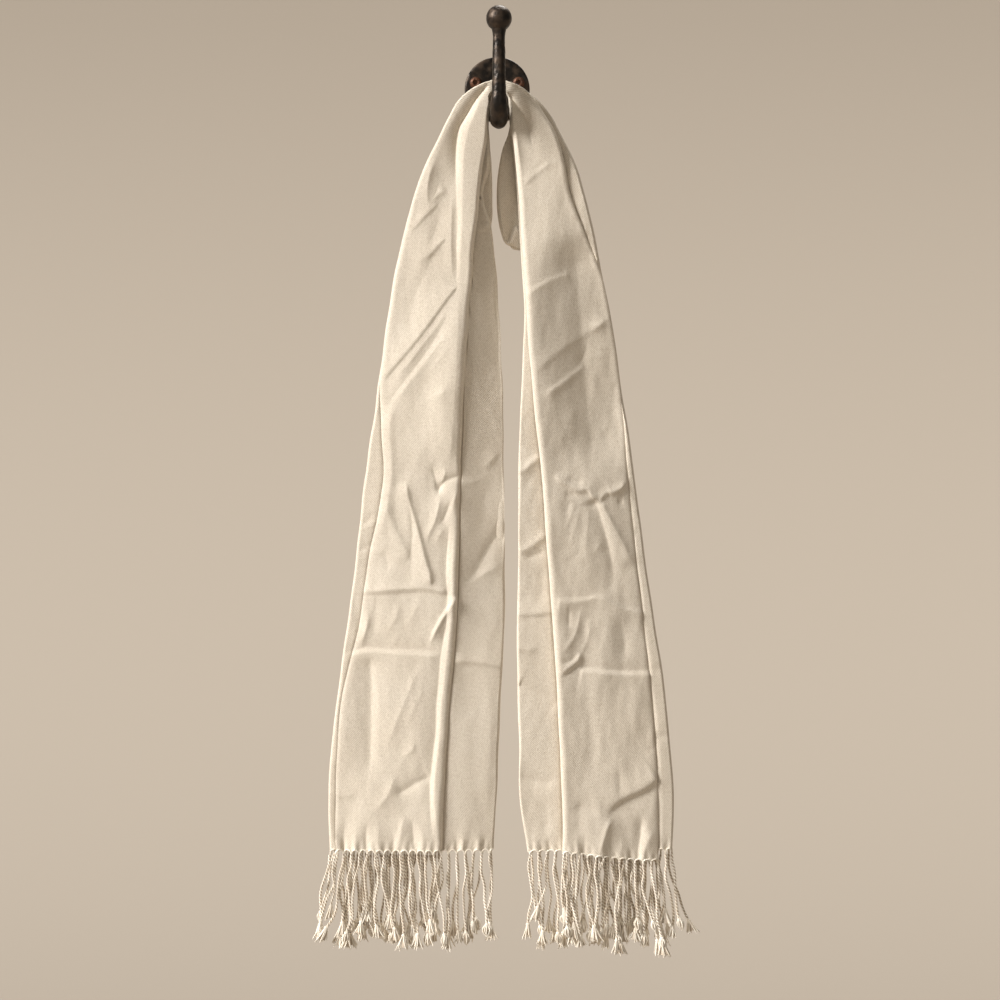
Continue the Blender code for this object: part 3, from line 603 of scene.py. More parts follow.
# how far the hem of the right tail's front panel drops, from its inner to its outer side
hemDrop = {"height": 11.0, "acrossX": (50.0, 165.0), "downZ": (610.0, 802.0)}


def scarfCuts():
    # the cuts of each tail from the arm's middle to its hem, as rows about rowStep apart, with
    # the distance run along them
    table = np.array([*leftTail, overArm, *rightTail])
    knots = travel((table[:, :2] + table[:, 2:4]) / 2)
    top = knots[len(leftTail)]
    halves = []
    for end in (0.0, knots[-1]):
        run = np.linspace(top, end, round(abs(end - top) / cloth["rowStep"]) + 1)
        halves.append((throughPoints(knots, table, run), np.abs(run - top)))
    return halves


def stretchOf(first, last, count, ease=1.0):
    # rows x count fractions: first + (last - first) * (1 - (1 - t)^ease), so that an ease above
    # 1 crowds them towards the last
    part = 1 - (1 - np.linspace(0, 1, count)[None, :]) ** ease
    return first[:, None] + part * (last - first)[:, None]


def foldOf(at, reach, depthFrom, depthTo, count):
    # a half-round fold between two depths: at - reach * (1 - sin(angle)) along the cut, and
    # middle - half * cos(angle) in depth
    angle = np.linspace(0, math.pi, count + 2)[None, 1:-1]
    middle, half = (depthFrom + depthTo)[:, None] / 2, (depthTo - depthFrom)[:, None] / 2
    return at[:, None] - reach[:, None] * (1 - np.sin(angle)), middle - half * np.cos(angle)


def middleDepthAt(drop):
    # below + (atHook - below) * exp(-drop past the hook / settle)
    atHook, below = cloth["middleDepth"]
    return below + (atHook - below) * np.exp(-np.maximum(drop - cloth["hookReach"], 0) / cloth["settle"])


def pleatedCut(rows, side):
    # each cut from selvedge to selvedge: flap, fold, front panel, fold, middle layer, fold,
    # rear panel, fold, back layer. Gives the fraction along the cut, the depth, for every column
    # how much of the front, rear and back creases it takes, and where the front panel's last
    # column and the hidden seam are
    innerX, innerZ, outerX, outerZ, frontIn, frontOut, pitch, crook = rows.T
    length = np.hypot(outerX - innerX, outerZ - innerZ)
    drop = -np.minimum(innerZ, outerZ)
    sets = {name: smoothStep(drop, *reach) for name, reach in cloth["setsIn"].items()}
    edges, columns, crowding, share = (cloth[key] for key in ("edges", "columns", "crowding", "share"))
    depth = {name: middleDepthAt(drop) + step * pitch for name, step in
             (("flap", -1), ("front", -2), ("middle", 0), ("rear", 1), ("back", 2))}
    turn = np.minimum(pitch / 2, cloth["roundestFold"] * length) / length
    most, inner, outer = cloth["roll"][side]
    rollIn, rollOut = (np.minimum(reach, most * length) / length for reach in (inner, outer))
    one, fold = np.ones(len(rows)), columns["fold"]

    rear = stretchOf(one - turn, turn, columns["rear"], crowding["rear"])
    rearDepth = depth["rear"][:, None] - crook[:, None] * (1 - rear) ** 2
    upper, lower = cloth["rise"][side]
    rise = (upper + (lower - upper) * sets["low"]) * pitch * sets["rise"]
    # well above the hem the rise falls off towards the inner edge, so that part faces inwards
    steep, lessLow = cloth["fall"]
    towardsInner = np.clip(1 - rear / np.maximum(frontIn, cloth["leastInner"])[:, None], 0, 1)
    fall = 1 - steep * (1 - lessLow * sets["low"])[:, None] * towardsInner
    rearDepth -= rise[:, None] * fall * smoothStep(frontIn[:, None] - rear, *edges["rise"])

    front = stretchOf(frontOut - rollOut, frontIn + rollIn, columns["front"])
    back = cloth["easeBack"][side] * pitch * sets["easeBack"]
    eased = smoothStep(front - frontOut[:, None], *edges["easeBack"])
    frontDepth = depth["front"][:, None] + back[:, None] * eased
    flap = stretchOf(frontIn + cloth["flapStart"], frontOut - rollOut, columns["flap"])
    seam = cloth["middleSeam"] * one
    outside = stretchOf(seam, one - turn, columns["outside"], crowding["outside"])[:, 1:]
    raised = (cloth["strip"][side] * pitch * sets["strip"])[:, None]
    raised = raised * smoothStep(outside - frontOut[:, None], *edges["strip"])
    outsideDepth = depth["middle"][:, None] - raised
    spans = (
        ("flap", "flap", flap, depth["flap"]),
        ("flap", "front", *foldOf(frontOut, rollOut, depth["flap"], frontDepth[:, 0], fold)),
        ("front", "front", front, frontDepth),
        ("front", "middle", *foldOf(frontIn, -rollIn, depth["front"], depth["middle"], columns["innerFold"])),
        ("middle", "middle", stretchOf(frontIn + rollIn, seam, columns["inside"]), depth["middle"]),
        ("middle", "middle", outside, outsideDepth),
        ("middle", "rear", *foldOf(one, turn, outsideDepth[:, -1], depth["rear"], fold)),
        ("rear", "rear", rear, rearDepth),
        ("rear", "back", *foldOf(0 * one, -turn, rearDepth[:, -1], depth["back"], fold)),
        ("back", "back", stretchOf(turn, cloth["backReach"] * one, columns["back"]), depth["back"]),
    )
    along, deep, weights = [], [], []
    for first, last, fractions, depths in spans:
        count = fractions.shape[1]
        part = np.linspace(0, 1, count + 2)[1:-1] if first != last else np.zeros(count)
        own = [(first == name) * (1 - part) + (last == name) * part for name in ("rear", "back")]
        weights.append(np.stack([share[first] * (1 - part) + share[last] * part, *own]))
        along.append(fractions)
        deep.append(depths if depths.ndim == 2 else np.repeat(depths[:, None], count, axis=1))
    widths = np.cumsum([part.shape[1] for part in along])
    along, deep, weights = (np.concatenate(arrays, 1) for arrays in (along, deep, weights))
    deep = deep + (cloth["tilt"][side] * sets["tilt"])[:, None] * (along - 0.5)
    return along, deep, weights, widths[2], widths[4]


def fineCreases(seed, rows, count):
    # short, shallow crinkles strewn over a tail, most of them level or rising to the right
    draw = np.random.default_rng(seed)
    rows = rows[np.argsort(rows[:, 3])]
    crinkles = []
    for z, across, lean, length, height, width in zip(
        draw.uniform(rows[0, 3], crinkle["top"], count), draw.random(count),
        draw.normal(*crinkle["lean"], count), draw.uniform(*crinkle["length"], count),
        draw.normal(*crinkle["height"], count), draw.uniform(*crinkle["width"], count),
    ):
        inner, outer = (np.interp(z, rows[:, 3], rows[:, column]) for column in (0, 2))
        x = inner + across * (outer - inner)
        dx, dz = length * math.cos(lean) / 2, length * math.sin(lean) / 2
        bow = draw.normal(*crinkle["bow"]) * length
        path = (x + dx, z + dz, x + bow * math.sin(lean), z - bow * math.cos(lean), x - dx, z - dz)
        crinkles.append((path, width, width, height, *crinkle["fade"]))
    return crinkles


def clothUv(grid, down, zero=0):
    # distance across the cloth from its column zero, and the distance down that is given
    wide = np.cumsum(np.linalg.norm(np.diff(grid, axis=1, prepend=grid[:, :1]), axis=-1), axis=1)
    return np.stack([wide - wide[:, zero, None], np.repeat(down[:, None], wide.shape[1], 1)], -1)


def tailSurface(side, rows, run, layerCreases, seed):
    # the whole pleated tail as one grid, with its normals, its uv and the column of its seam:
    # the pleated cuts, brought forward by each layer's creases, crinkles and soft waves
    along, deep, weights, panelEnd, split = pleatedCut(rows, side)
    innerX, innerZ, outerX, outerZ = rows[:, :4].T
    x = innerX[:, None] + along * (outerX - innerX)[:, None]
    z = innerZ[:, None] + along * (outerZ - innerZ)[:, None]
    slack = smoothStep(-z, *cloth["setsIn"]["slack"])
    shortHeight, atHook = cloth["shortHeight"]
    layers = zip(weights, layerCreases, *(cloth[key] for key in ("layerScale", "fineCreases", "layerWaves")))
    lift = 0 * x
    for number, (share, placed, scale, crinkles, height) in enumerate(layers):
        strewn = fineCreases(seed + number, rows, crinkles)
        creased = cloth["creaseScale"] * creaseHeight(x, z, placed) + creaseHeight(x, z, strewn)
        lift += share * scale * creased
        lift += slack * share * height * softWaves(x, z, seed + number, *cloth["longWaves"])
        short = softWaves(x, z, seed + 3 + number, *cloth["shortWaves"])
        lift += (atHook + (1 - atHook) * slack) * share * shortHeight * short
    height, width, *wave = cloth["sideways"]
    x = x + slack * height * softWaves(0 * z + width * along, z, seed + 6, *wave)
    if side == "right":
        low = hemDrop["height"] * smoothStep(x, *hemDrop["acrossX"]) * smoothStep(-z, *hemDrop["downZ"])
        z = z - low * (np.arange(z.shape[1]) < panelEnd)
    grid = np.stack([x, deep - lift, z], -1)
    return grid, gridNormals(grid), clothUv(grid, run, split // 2), split


def hemBand(name, grid, uv, cordRuns, material):
    # the last rows of a tail again, with close columns: the woven edge is drawn down to a point
    # at each cord, by point * (1 - sqrt(1 - (1 - away / half)^2)), between round arches
    hem = fringe["hem"]
    both = np.concatenate([grid, uv], -1)[-cloth["hemRows"] - 1:]
    place = np.linspace(0, len(both) - 1, hem["rows"])
    low = np.minimum(place.astype(int), len(both) - 2)
    part = (place - low)[:, None, None]
    even = np.linspace(0, 1, round(travel(grid[-1])[-1] / hem["columnStep"]))
    both = both[low] * (1 - part) + both[low + 1] * part
    runs = [travel(row[:, :3]) for row in both]
    band = np.stack([np.stack([np.interp(even, run / run[-1], values) for values in row.T], -1)
                     for row, run in zip(both, runs)])
    band, bandUv = band[..., :3], band[..., 3:]
    half = fringe["spacing"] / 2
    away = np.abs(travel(band[-1])[:, None] - cordRuns[None, :]).min(1) / half
    arch = np.sqrt(1 - (1 - np.clip(away, 0, 1)) ** 2)
    drawn = np.linspace(0, 1, hem["rows"])[:, None]
    pucker = hem["pucker"] * drawn * np.cos(math.pi * away)[None, :]
    band += gridNormals(band) * pucker[..., None]
    band[..., 2] -= drawn ** 2 * (hem["point"] * (1 - arch))[None, :]
    return clothShell(name, band, gridNormals(band), bandUv, material, hem["thickness"])


# Folds that sag behind the tails: height, x of the free edge, x of the hidden end, depth.
leftSag = (
    (-38, -12, -24, 2.6),
    (-50, -10.8, -30, 3),
    (-66, -7.6, -36, 4.2),
    (-90, -5.8, -42, 5),
    (-118, -5.4, -46, 5),
    (-140, -5.8, -46, 4.4),
    (-158, -11, -42, 3.4),
    (-166, -20, -36, 3),
)
rightSag = (
    (-38, 14, 28, 2.6),
    (-50, 11.5, 36, 3),
    (-62, 6.8, 44, 4.2),
    (-86, 1.8, 52, 5.4),
    (-112, -0.2, 58, 6),
    (-138, 1.2, 60, 5.6),
    (-154, 4.6, 58, 4.6),
    (-165, 9.6, 54, 3.6),
    (-167.5, 14.5, 48, 3),
)
leftSagCreases = (
    ((-8, -60, -9, -100, -8, -140), 4, 4, 1),
)
rightSagCreases = (
    ((2.5, -112, 4.4, -130, 7, -147, 9.6, -158, 12, -167), 4, 1.1, 4, 0.5, 0.02),
    ((20, -146, 17, -154, 12.4, -166.5), 1.1, 6, 4, 0.2, 0.02),
    ((14, -140, 13, -152, 12, -164), 3.5, 3.5, -1.6, 0.4, 0.02),
    ((12, -50, 9.5, -76, 9, -105, 11, -140), 7, 7, 2.6, 0.3, 0.3),
)
sag = {
    "rows": 66,
    "bottomRows": 10,
    "roundBottom": 4.0,
    "bottomDepth": 1.0,
    "cornerRadius": 9.0,
    "wall": 21,
    "edge": 11,
    "setback": 2.2,
    "thickness": 0.7,
    "waves": (0.35, 22, 70),  # height, length across and along
}


def saggingFold(name, rows, tail, creases, seed, material):
    # a front wall, a round free edge and a rear wall, behind the tail's back layer: a section of
    # two straight walls and a half circle, carried down the fold. At its foot the two walls
    # come together on a quarter circle
    table = np.array(rows)
    down = travel(table[:, :2])
    z, edgeX, insideX, depth = throughPoints(down, table, np.linspace(0, down[-1], sag["rows"])).T
    bend = np.linspace(0, math.pi / 2, sag["bottomRows"] + 1)[1:]
    inward = np.sign(insideX[0] - edgeX[0])
    corner = inward * sag["cornerRadius"] * (1 - np.cos(bend))
    middle = np.concatenate([depth, np.full(len(bend), depth[-1])]) / 2
    z = np.concatenate([z, z[-1] - sag["roundBottom"] * np.sin(bend)])
    depth = np.concatenate([depth, (depth[-1] - sag["bottomDepth"]) * np.cos(bend) + sag["bottomDepth"]])
    edgeX = np.concatenate([edgeX, edgeX[-1] + corner])
    insideX = np.concatenate([insideX, insideX[-1] - corner])
    tail = np.array(sorted(tail, key=lambda cut: -cut[1]))
    pitch = np.interp(-z, -tail[:, 1], tail[:, 6])
    centre = middleDepthAt(-z) + 2 * pitch + sag["setback"] + middle
    radius = depth[:, None] / 2
    width = np.abs(insideX - edgeX)[:, None]
    wall = radius + np.linspace(1, 0, sag["wall"])[None, :-1] * (width - radius)
    angle = np.linspace(0, math.pi, sag["edge"])[None, :]
    across = np.concatenate([wall, radius * (1 - np.sin(angle)), wall[:, ::-1]], 1)
    deep = np.concatenate([-radius + 0 * wall, -radius * np.cos(angle), radius + 0 * wall], 1)
    x = edgeX[:, None] + inward * across
    z = np.repeat(z[:, None], x.shape[1], 1)
    isFront = np.concatenate([0 * wall[0] + 1, np.maximum(np.cos(angle[0]), 0), 0 * wall[0]])
    height, *wave = sag["waves"]
    lift = isFront * creaseHeight(x, z, creases) + height * softWaves(x, z, seed, *wave)
    grid = np.stack([x, centre[:, None] + deep - lift, z], -1)
    return clothShell(name, grid, gridNormals(grid), clothUv(grid, -z[:, 0]), material, sag["thickness"])


# fringe

fringe = {
    "spacing": 8.9,
    "inset": 3.0,
    "length": (70.0, 87.0),
    "shortShare": 0.16,
    "shortLength": (56.0, 72.0),
    "ringStep": 0.95,
    "section": ((-28, 28, 90, 152, 208, 270), (1.48, 1.48, 0.52, 1.48, 1.48, 0.52)),  # degrees, radii
    "thickness": (0.86, 1.12),
    "thinTop": (0.5, 4.0),  # share of its thickness a cord starts with, and where that ends
    "twist": 7.2,  # length of one full turn of the two plies
    "spreadPower": 3,
    "swingPower": (0.7, 2.0),
    "waves": ((70.0, 1.9), (30.0, 0.45)),  # length and height
    "waveHeight": (0.2, 1.4),  # shares of that height
    "waveStart": 0.25,
    "pull": (0.1, 0.9),  # how far cords gather at the bottoms
    "stray": 5.4,
    "strayDepth": 3.0,
    "steepest": 0.2,
    "headingRings": 8,
    "headingDown": 0.6,
    "arm": {"drop": 4.3, "radius": 0.76, "forward": 0.9, "apart": 0.35, "lower": 0.2, "rings": 8, "sides": 6},
    "hem": {"rows": 7, "columnStep": 0.9, "point": 4.6, "pucker": 0.55, "thickness": 0.85},
    "sharpAngle": 80,
}
# the tufts below the knots: a bud is closed, and a brush is open
tuft = {
    "knot": (2.15, 1.5),  # radius and half length
    "budShare": 0.42,
    "bud": {"length": (10.0, 13.0), "width": (4.3, 4.3)},
    "brush": {"length": (12.0, 17.5), "width": (5.4, 5.4)},
    "widthSpread": (0.8, 1.2),
    "depth": 0.55,  # its size from front to back, as a share of its width
    "budPower": 0.8,
    "budEnd": 0.97,
    "brushTop": 0.2,
    "coreRings": 9,
    "coreSides": 12,
    "coreWidth": 0.72,
    "coreEnd": 0.84,  # where the core of a brush stops
    "coreSkin": 0.3,
    "coreStarts": (0, 0.15),  # along the tuft, as shares of its length
    "strandStarts": (-0.1, 0.2),
    "paintedShadeStarts": (0.02, 0.2),
    "ribs": (0.06, 0.18),  # in a bud and a brush
    "strands": 9,
    "strandSides": 5,
    "strandRadius": (0.74, (1.0, 1.2, 1.25, 1.2, 1.0, 0.6)),
    "strandLength": (0.86, 1.1),
    "strandReach": (0.75, 1.0),
    "strandTurn": 0.2,
    "bend": (0.13, 0.18),  # spread and limit
    "budBend": 0.3,
    # painted shade on the core between the strands below the knot; the strands are only toned down a little all
    # over
    "shade": (0.9, 0.42),  # of the strands, and of the core between them
}


def cordPlaces(hemRow):
    # where the cords leave the hem, by distance along it
    length = travel(hemRow)[-1] - 2 * fringe["inset"]
    count = round(length / fringe["spacing"])
    return fringe["inset"] + (np.arange(count) + 0.5) * length / count


def alongHem(hemRow, places):
    return np.stack([np.interp(places, travel(hemRow), values) for values in hemRow.T], -1)


def cordLines(hemRow, places, bottoms, spread, draw):
    # the centre line of every cord (cord, ring, xyz) and the distance run along it: top + (end -
    # top) * t^power + waves. bottoms are the x where cords gather, spread how far the outermost
    # ones swing out
    tops = alongHem(hemRow, places)
    tops[:, 2] -= fringe["arm"]["drop"]
    topX, count = tops[:, 0], len(tops)
    short = draw.random(count) < fringe["shortShare"]
    length = np.where(short, *(draw.uniform(*fringe[kind], count) for kind in ("shortLength", "length")))
    down = np.linspace(0, 1, round(fringe["length"][1] / fringe["ringStep"]))[None, :]
    run = down * length[:, None]
    outward = (2 * topX - topX.max() - topX.min()) / (topX.max() - topX.min())
    swung = np.where(outward < 0, *spread) * np.abs(outward) ** fringe["spreadPower"] * np.sign(outward)
    end, bottoms = topX + swung, np.array(bottoms)
    nearest = bottoms[np.abs(end[:, None] - bottoms[None, :]).argmin(1)]
    end += (nearest - end) * draw.uniform(*fringe["pull"], count) + draw.normal(0, fringe["stray"], count)
    swing = down ** draw.uniform(*fringe["swingPower"], (count, 1))
    settle = smoothStep(down, 0, fringe["waveStart"])
    x = tops[:, :1] + (end - topX)[:, None] * swing
    y = tops[:, 1:2] + draw.normal(0, fringe["strayDepth"], (count, 1)) * swing
    for wavelength, height in fringe["waves"]:
        for line in (x, y):
            amount = height * draw.uniform(*fringe["waveHeight"], (count, 1)) * settle
            line += amount * np.sin(fullTurn * (run / wavelength + draw.random((count, 1))))
    step = np.gradient(run, axis=1)
    aside = np.hypot(np.gradient(x, axis=1), np.gradient(y, axis=1)) / step
    steps = step * np.sqrt(np.clip(1 - aside ** 2, fringe["steepest"], 1))
    z = tops[:, 2:] - (np.cumsum(steps, 1) - steps[:, :1])
    return np.stack([x, y, z], -1), run


def cutEnds(knots, heading, draw):
    # below each knot a tuft: a ribbed solid core with strands along it. Their reach from the
    # middle is width * sin(pi * t^0.8) in a bud, and width * (0.2 + 0.8 * t) in a brush, whose
    # core is cut short so that the strands' ends stand free
    count, strands, sides, budEnd = len(knots), tuft["strands"], tuft["coreSides"], tuft["budEnd"]
    power, top, (strandShade, paintedCoreShade) = tuft["budPower"], tuft["brushTop"], tuft["shade"]
    isBud = draw.random(count) < tuft["budShare"]
    bud, brush = ({key: draw.uniform(*value, count) for key, value in tuft[kind].items()}
                  for kind in ("bud", "brush"))
    length = np.where(isBud, bud["length"], brush["length"])
    width = np.where(isBud, bud["width"], brush["width"]) * draw.uniform(*tuft["widthSpread"], count)
    part = np.linspace(0, 1, tuft["coreRings"])[None, :]
    radius, half = tuft["knot"]
    along = part * ((length * np.where(isBud, 1, tuft["coreEnd"]))[:, None] + half) - half
    below = np.clip(along / length[:, None], 0, 1)
    closed = np.sin(math.pi * np.clip(below, 0, budEnd) ** power)
    flared = (top + (1 - top) * below) * smoothStep(below, *tuft["coreStarts"])
    core = tuft["coreWidth"] * width[:, None] * np.where(isBud[:, None], closed, flared)
    core = np.maximum(core, radius * np.exp(-(along / half) ** 2)) + tuft["coreSkin"]
    ribs = draw.normal(0, 1, (count, 1, sides)) * np.where(isBud, *tuft["ribs"])[:, None, None]
    centres = knots[:, None] + heading[:, None] * along[..., None]
    points, *coreFaces = tubes(centres, core[..., None] * (1 + ribs * below[..., None]))
    points = points.reshape(count, -1, sides, 3)
    points[..., 1] += (tuft["depth"] - 1) * (points[..., 1] - centres[:, :, None, 1])
    shapes = [(points.reshape(-1, 3), *coreFaces)]
    # painted shade on the core, growing below the knot where it lies between the strands
    shade = [np.repeat(1 - (1 - paintedCoreShade) * smoothStep(below, *tuft["paintedShadeStarts"]), sides)]

    thin, taper = tuft["strandRadius"]
    rings = len(taper)
    part = np.linspace(0, 1, rings)
    fan = np.arange(strands) * fullTurn / strands + draw.normal(0, tuft["strandTurn"], (count, strands))
    reach = length[:, None] * draw.uniform(*tuft["strandLength"], (count, strands))
    bulge = np.where(isBud[:, None], np.sin(math.pi * (budEnd * part) ** power), top + (1 - top) * part)
    bulge = bulge * smoothStep(part, *tuft["strandStarts"])
    away = (width[:, None] * draw.uniform(*tuft["strandReach"], (count, strands)))[..., None] * bulge[:, None]
    spread, limit = tuft["bend"]
    bend = np.clip(draw.normal(0, spread, (count, strands, 1)), -limit, limit)
    bend = bend * np.where(isBud, tuft["budBend"], 1)[:, None, None] * part ** 2
    lines = knots[:, None, None] + heading[:, None, None] * (reach[..., None] * part)[..., None]
    lines = lines + np.stack([
        np.cos(fan)[..., None] * away + bend * reach[..., None],
        tuft["depth"] * np.sin(fan)[..., None] * away,
        0 * away], -1)
    lines = lines.reshape(-1, rings, 3)
    radii = np.broadcast_to(thin * np.array(taper)[None, :, None], (len(lines), rings, tuft["strandSides"]))
    shapes.append(tubes(lines, radii))
    return shapes, [*shade, np.full(radii.size, strandShade)]


def twistedFringe(name, hemRow, places, bottoms, spread, seed, material):
    # every cord is a tube of two plies: a section with two lobes that turns by 2 * pi * run /
    # twist on its way down to a knot and a tuft. At the hem its two yarns part into round arches
    draw = np.random.default_rng(seed)
    centres, run = cordLines(hemRow, places, bottoms, spread, draw)
    count, arm = len(centres), fringe["arm"]
    degrees, radius = (np.array(values, float) for values in fringe["section"])
    turned = fullTurn * (run / fringe["twist"] + draw.random((count, 1)))
    thin, thinEnd = fringe["thinTop"]
    thickness = draw.uniform(*fringe["thickness"], (count, 1))
    thickness = thickness * (thin + (1 - thin) * smoothStep(run, 0, thinEnd))
    shapes = [tubes(centres, thickness[..., None] * radius, turned[..., None] + np.radians(degrees))]
    heading = unit(centres[:, -1] - centres[:, -fringe["headingRings"]])
    heading = unit(heading - [0, 0, fringe["headingDown"]])
    # painted shade: each cord's colour darkens where its section narrows, in the grooves between its two plies
    paintedPlyShade = np.tile(radius / radius.max(), run.size)
    tufts, tuftPaintedShade = cutEnds(centres[:, -1], heading, draw)
    shapes += tufts
    shade = [(paintedPlyShade - paintedPlyShade.min()) / (1 - paintedPlyShade.min()), *tuftPaintedShade]

    bend = np.linspace(0, math.pi / 2, arm["rings"])
    for side in (-1, 1):
        feet = alongHem(hemRow, np.clip(places + side * fringe["spacing"] / 2, 0, travel(hemRow)[-1]))
        top = alongHem(hemRow, places)
        top[:, 0] += side * arm["apart"]
        line = feet[:, None] + (top - feet)[:, None] * np.sin(bend)[None, :, None]
        line[..., 2] -= arm["drop"] * (1 - np.cos(bend))[None, :] + arm["lower"]
        line[..., 1] -= arm["forward"] * np.cos(bend / 2)[None, :]
        shapes.append(tubes(line, np.full((count, arm["rings"], arm["sides"]), arm["radius"])))
        shade.append(np.ones(count * arm["rings"] * arm["sides"]))
    points, faceSets = joinShapes(shapes)
    # the painted shade of the ply grooves and the tuft cores goes into the first coordinate of the uv map
    shade = np.concatenate(shade)
    uv = np.stack([shade, 0 * shade], -1) / mm
    return makePiece(name, points, faceSets, material, uv, fringe["sharpAngle"])


# hook

ironHook = {
    "plateProfile": ((0.05, -7.0), (6.0, -7.0), (12.0, -7.0), (18.0, -7.0), (24.0, -7.0), (29.0, -7.0),
                     (32.8, -6.95), (33.9, -6.5), (34.4, -5.7), (34.6, -4.5), (34.6, -2.5), (34.6, -0.4),
                     (34.3, 0.0), (20.0, 0.0), (0.05, 0.0)),
    "plateSides": 96,
    "plateFace": -6.5,
    "plateWaves": (0.14, 8, 12, 12, 40),  # height, seed, length across and along, count
    # centre line of the arm from the plate to the ball: y, z and radius
    "armPath": ((-3.0, -21.0, 8.2), (-10.0, -23.5, 7.8), (-20.0, -30.5, 7.8), (-32.0, -36.6, 8.5),
                (-45.0, -38.4, 9.3), (-56.0, -33.8, 9.5), (-62.0, -25.0, 8.8), (-63.5, -12.0, 7.5),
                (-63.4, 6.0, 6.9), (-62.8, 24.0, 6.6), (-62.2, 39.0, 6.3), (-62.0, 46.5, 6.5),
                (-62.0, 52.1, 7.5)),
    "armSides": 28,
    "armRings": 190,
    "lean": (1.9, 4),  # how far aside, and by which point of the path
    "ball": (-62.0, 63.2, 13.4),
    "ballRings": 30,
    "neckAngle": 34.0,
    "poleShare": 0.995,
    "dents": (0.12, 5, 9, 11, 40),  # height, seed, length around and along, count
    "dentRadius": 8,
    "fullDents": 7,  # the radius above which they are full
    "sharpAngle": 40,
}


def turnedShape(profile, sides):
    # a profile (radius, y) turned about the Y axis, and closed at both ends
    profile = np.array(profile, float)
    angle = np.arange(sides) * fullTurn / sides
    points = np.stack([profile[:, :1] * np.cos(angle), np.repeat(profile[:, 1:], sides, 1),
                       profile[:, :1] * np.sin(angle)], -1)
    return points, *ringFaces(1, len(profile), sides)


def castHook(name, material):
    # the arm's round section carried along its path, which ends in the ball, and the plate
    path = np.array(ironHook["armPath"])
    run = travel(path[:, :2])
    at = np.linspace(0, run[-1], ironHook["armRings"])
    y, z, radius = throughPoints(run, path, at).T
    lean, leanPoint = ironHook["lean"]
    ballY, ballZ, ballRadius = ironHook["ball"]
    ends = math.radians(ironHook["neckAngle"]), math.pi * ironHook["poleShare"]
    angle = np.linspace(*ends, ironHook["ballRings"])[1:]
    x = np.concatenate([lean * np.clip(at / run[leanPoint], 0, 1), np.full(len(angle), lean)])
    y = np.concatenate([y, np.full(len(angle), ballY)])
    z = np.concatenate([z, ballZ - ballRadius * np.cos(angle)])
    radius = np.concatenate([radius, ballRadius * np.sin(angle)])
    around = np.arange(ironHook["armSides"]) * fullTurn / ironHook["armSides"]
    length = travel(np.stack([y, z], -1))[:, None]
    height, *wave = ironHook["dents"]
    sideways, onward = (ironHook["dentRadius"] * turn(around)[None, :] for turn in (np.sin, np.cos))
    dents = height * softWaves(sideways + 0 * length, length + onward, *wave)
    dents *= np.minimum(radius / ironHook["fullDents"], 1)[:, None]
    centres = np.stack([x, y, z], -1)[None]
    arm = tubes(centres, (radius[:, None] + dents)[None], besides=(1, 0, 0))
    plate, *plateFaces = turnedShape(ironHook["plateProfile"], ironHook["plateSides"])
    height, *wave = ironHook["plateWaves"]
    waves = height * softWaves(plate[..., 0], plate[..., 2], *wave)
    plate[..., 1] -= (plate[..., 1] < ironHook["plateFace"]) * waves
    points, faceSets = joinShapes([arm, (plate.reshape(-1, 3), *plateFaces)])
    return makePiece(name, points, faceSets, material, None, ironHook["sharpAngle"])


screw = {
    "spacing": 45.5,
    "height": 6.6,
    "sides": 40,
    "waves": (0.08, 3),  # height and length
    "sharpAngle": 50,
    "profile": ((0.05, -8.6), (1.3, -8.6), (2.0, -8.7), (2.3, -9.8), (2.7, -10.5), (3.4, -10.7),
                (4.4, -10.45), (5.4, -9.75), (6.0, -8.9), (6.35, -7.9), (6.4, -7.05), (0.05, -7.05)),
}


def roundScrew(name, x, seed, material):
    # a domed head with a round recess
    points, *faceSets = turnedShape(screw["profile"], screw["sides"])
    height, wave = screw["waves"]
    points = points + [x, 0, screw["height"]]
    points[..., 1] -= height * softWaves(points[..., 0], points[..., 2], seed, wave, wave)
    points = points.reshape(-1, 3)
    return makePiece(name, points, facingOut(points, faceSets), material, None, screw["sharpAngle"])


# finishes

finish = {
    "cloth": {"colours": ((0.82, 0.755, 0.655), (0.79, 0.715, 0.605)), "gaps": (0.50, 0.42, 0.32),
              "clouds": (9, 0.3, 0.7), "weaveShare": 0.8, "nap": (700, 3), "napHeight": 0.6,
              "bump": (0.7, 0.0003)},
    # the dark colour below is painted shade for the grooves between plies and the tufts' cores
    "yarn": {"colours": ((0.92, 0.87, 0.78), (0.82, 0.74, 0.62)), "paintedShadeColour": (0.30, 0.21, 0.13),
             "clouds": (60, 0.35, 0.65), "fibres": (1600, 2), "bump": (0.6, 0.00018)},
    "sheenTint": (1.0, 0.95, 0.86),
    "iron": {"colours": ((0.023, 0.019, 0.016), (0.075, 0.052, 0.036)), "rough": 0.33, "metallic": 0.75,
             "patch": 90, "dentScale": 190, "dentDepth": 0.0006},
    "rust": {"colours": ((0.125, 0.050, 0.024), (0.050, 0.026, 0.018)), "rough": 0.5, "metallic": 0.45,
             "patch": 500, "dentScale": 700, "dentDepth": 0.0003},
    # of both metals: where the patches begin and end in the clouds, and how much rougher they are
    "patches": (0.45, 0.68),
    "patchRougher": 0.22,
    "metalBump": 0.7,
    "grain": (5, 4, 0.35),  # how much finer than the dents, its detail and its height
}
weave = {
    "wobble": (900, 2),  # scale and detail of a noise
    "slub": (330, 3),
    "heights": (0.5, 0.35, 0.15),  # the middle, the lines and the yarns
    "shades": (0.6, 0.7, 0.5),  # of the wobble, the height and the slub
    "contrast": (1.6, -1.0),
}


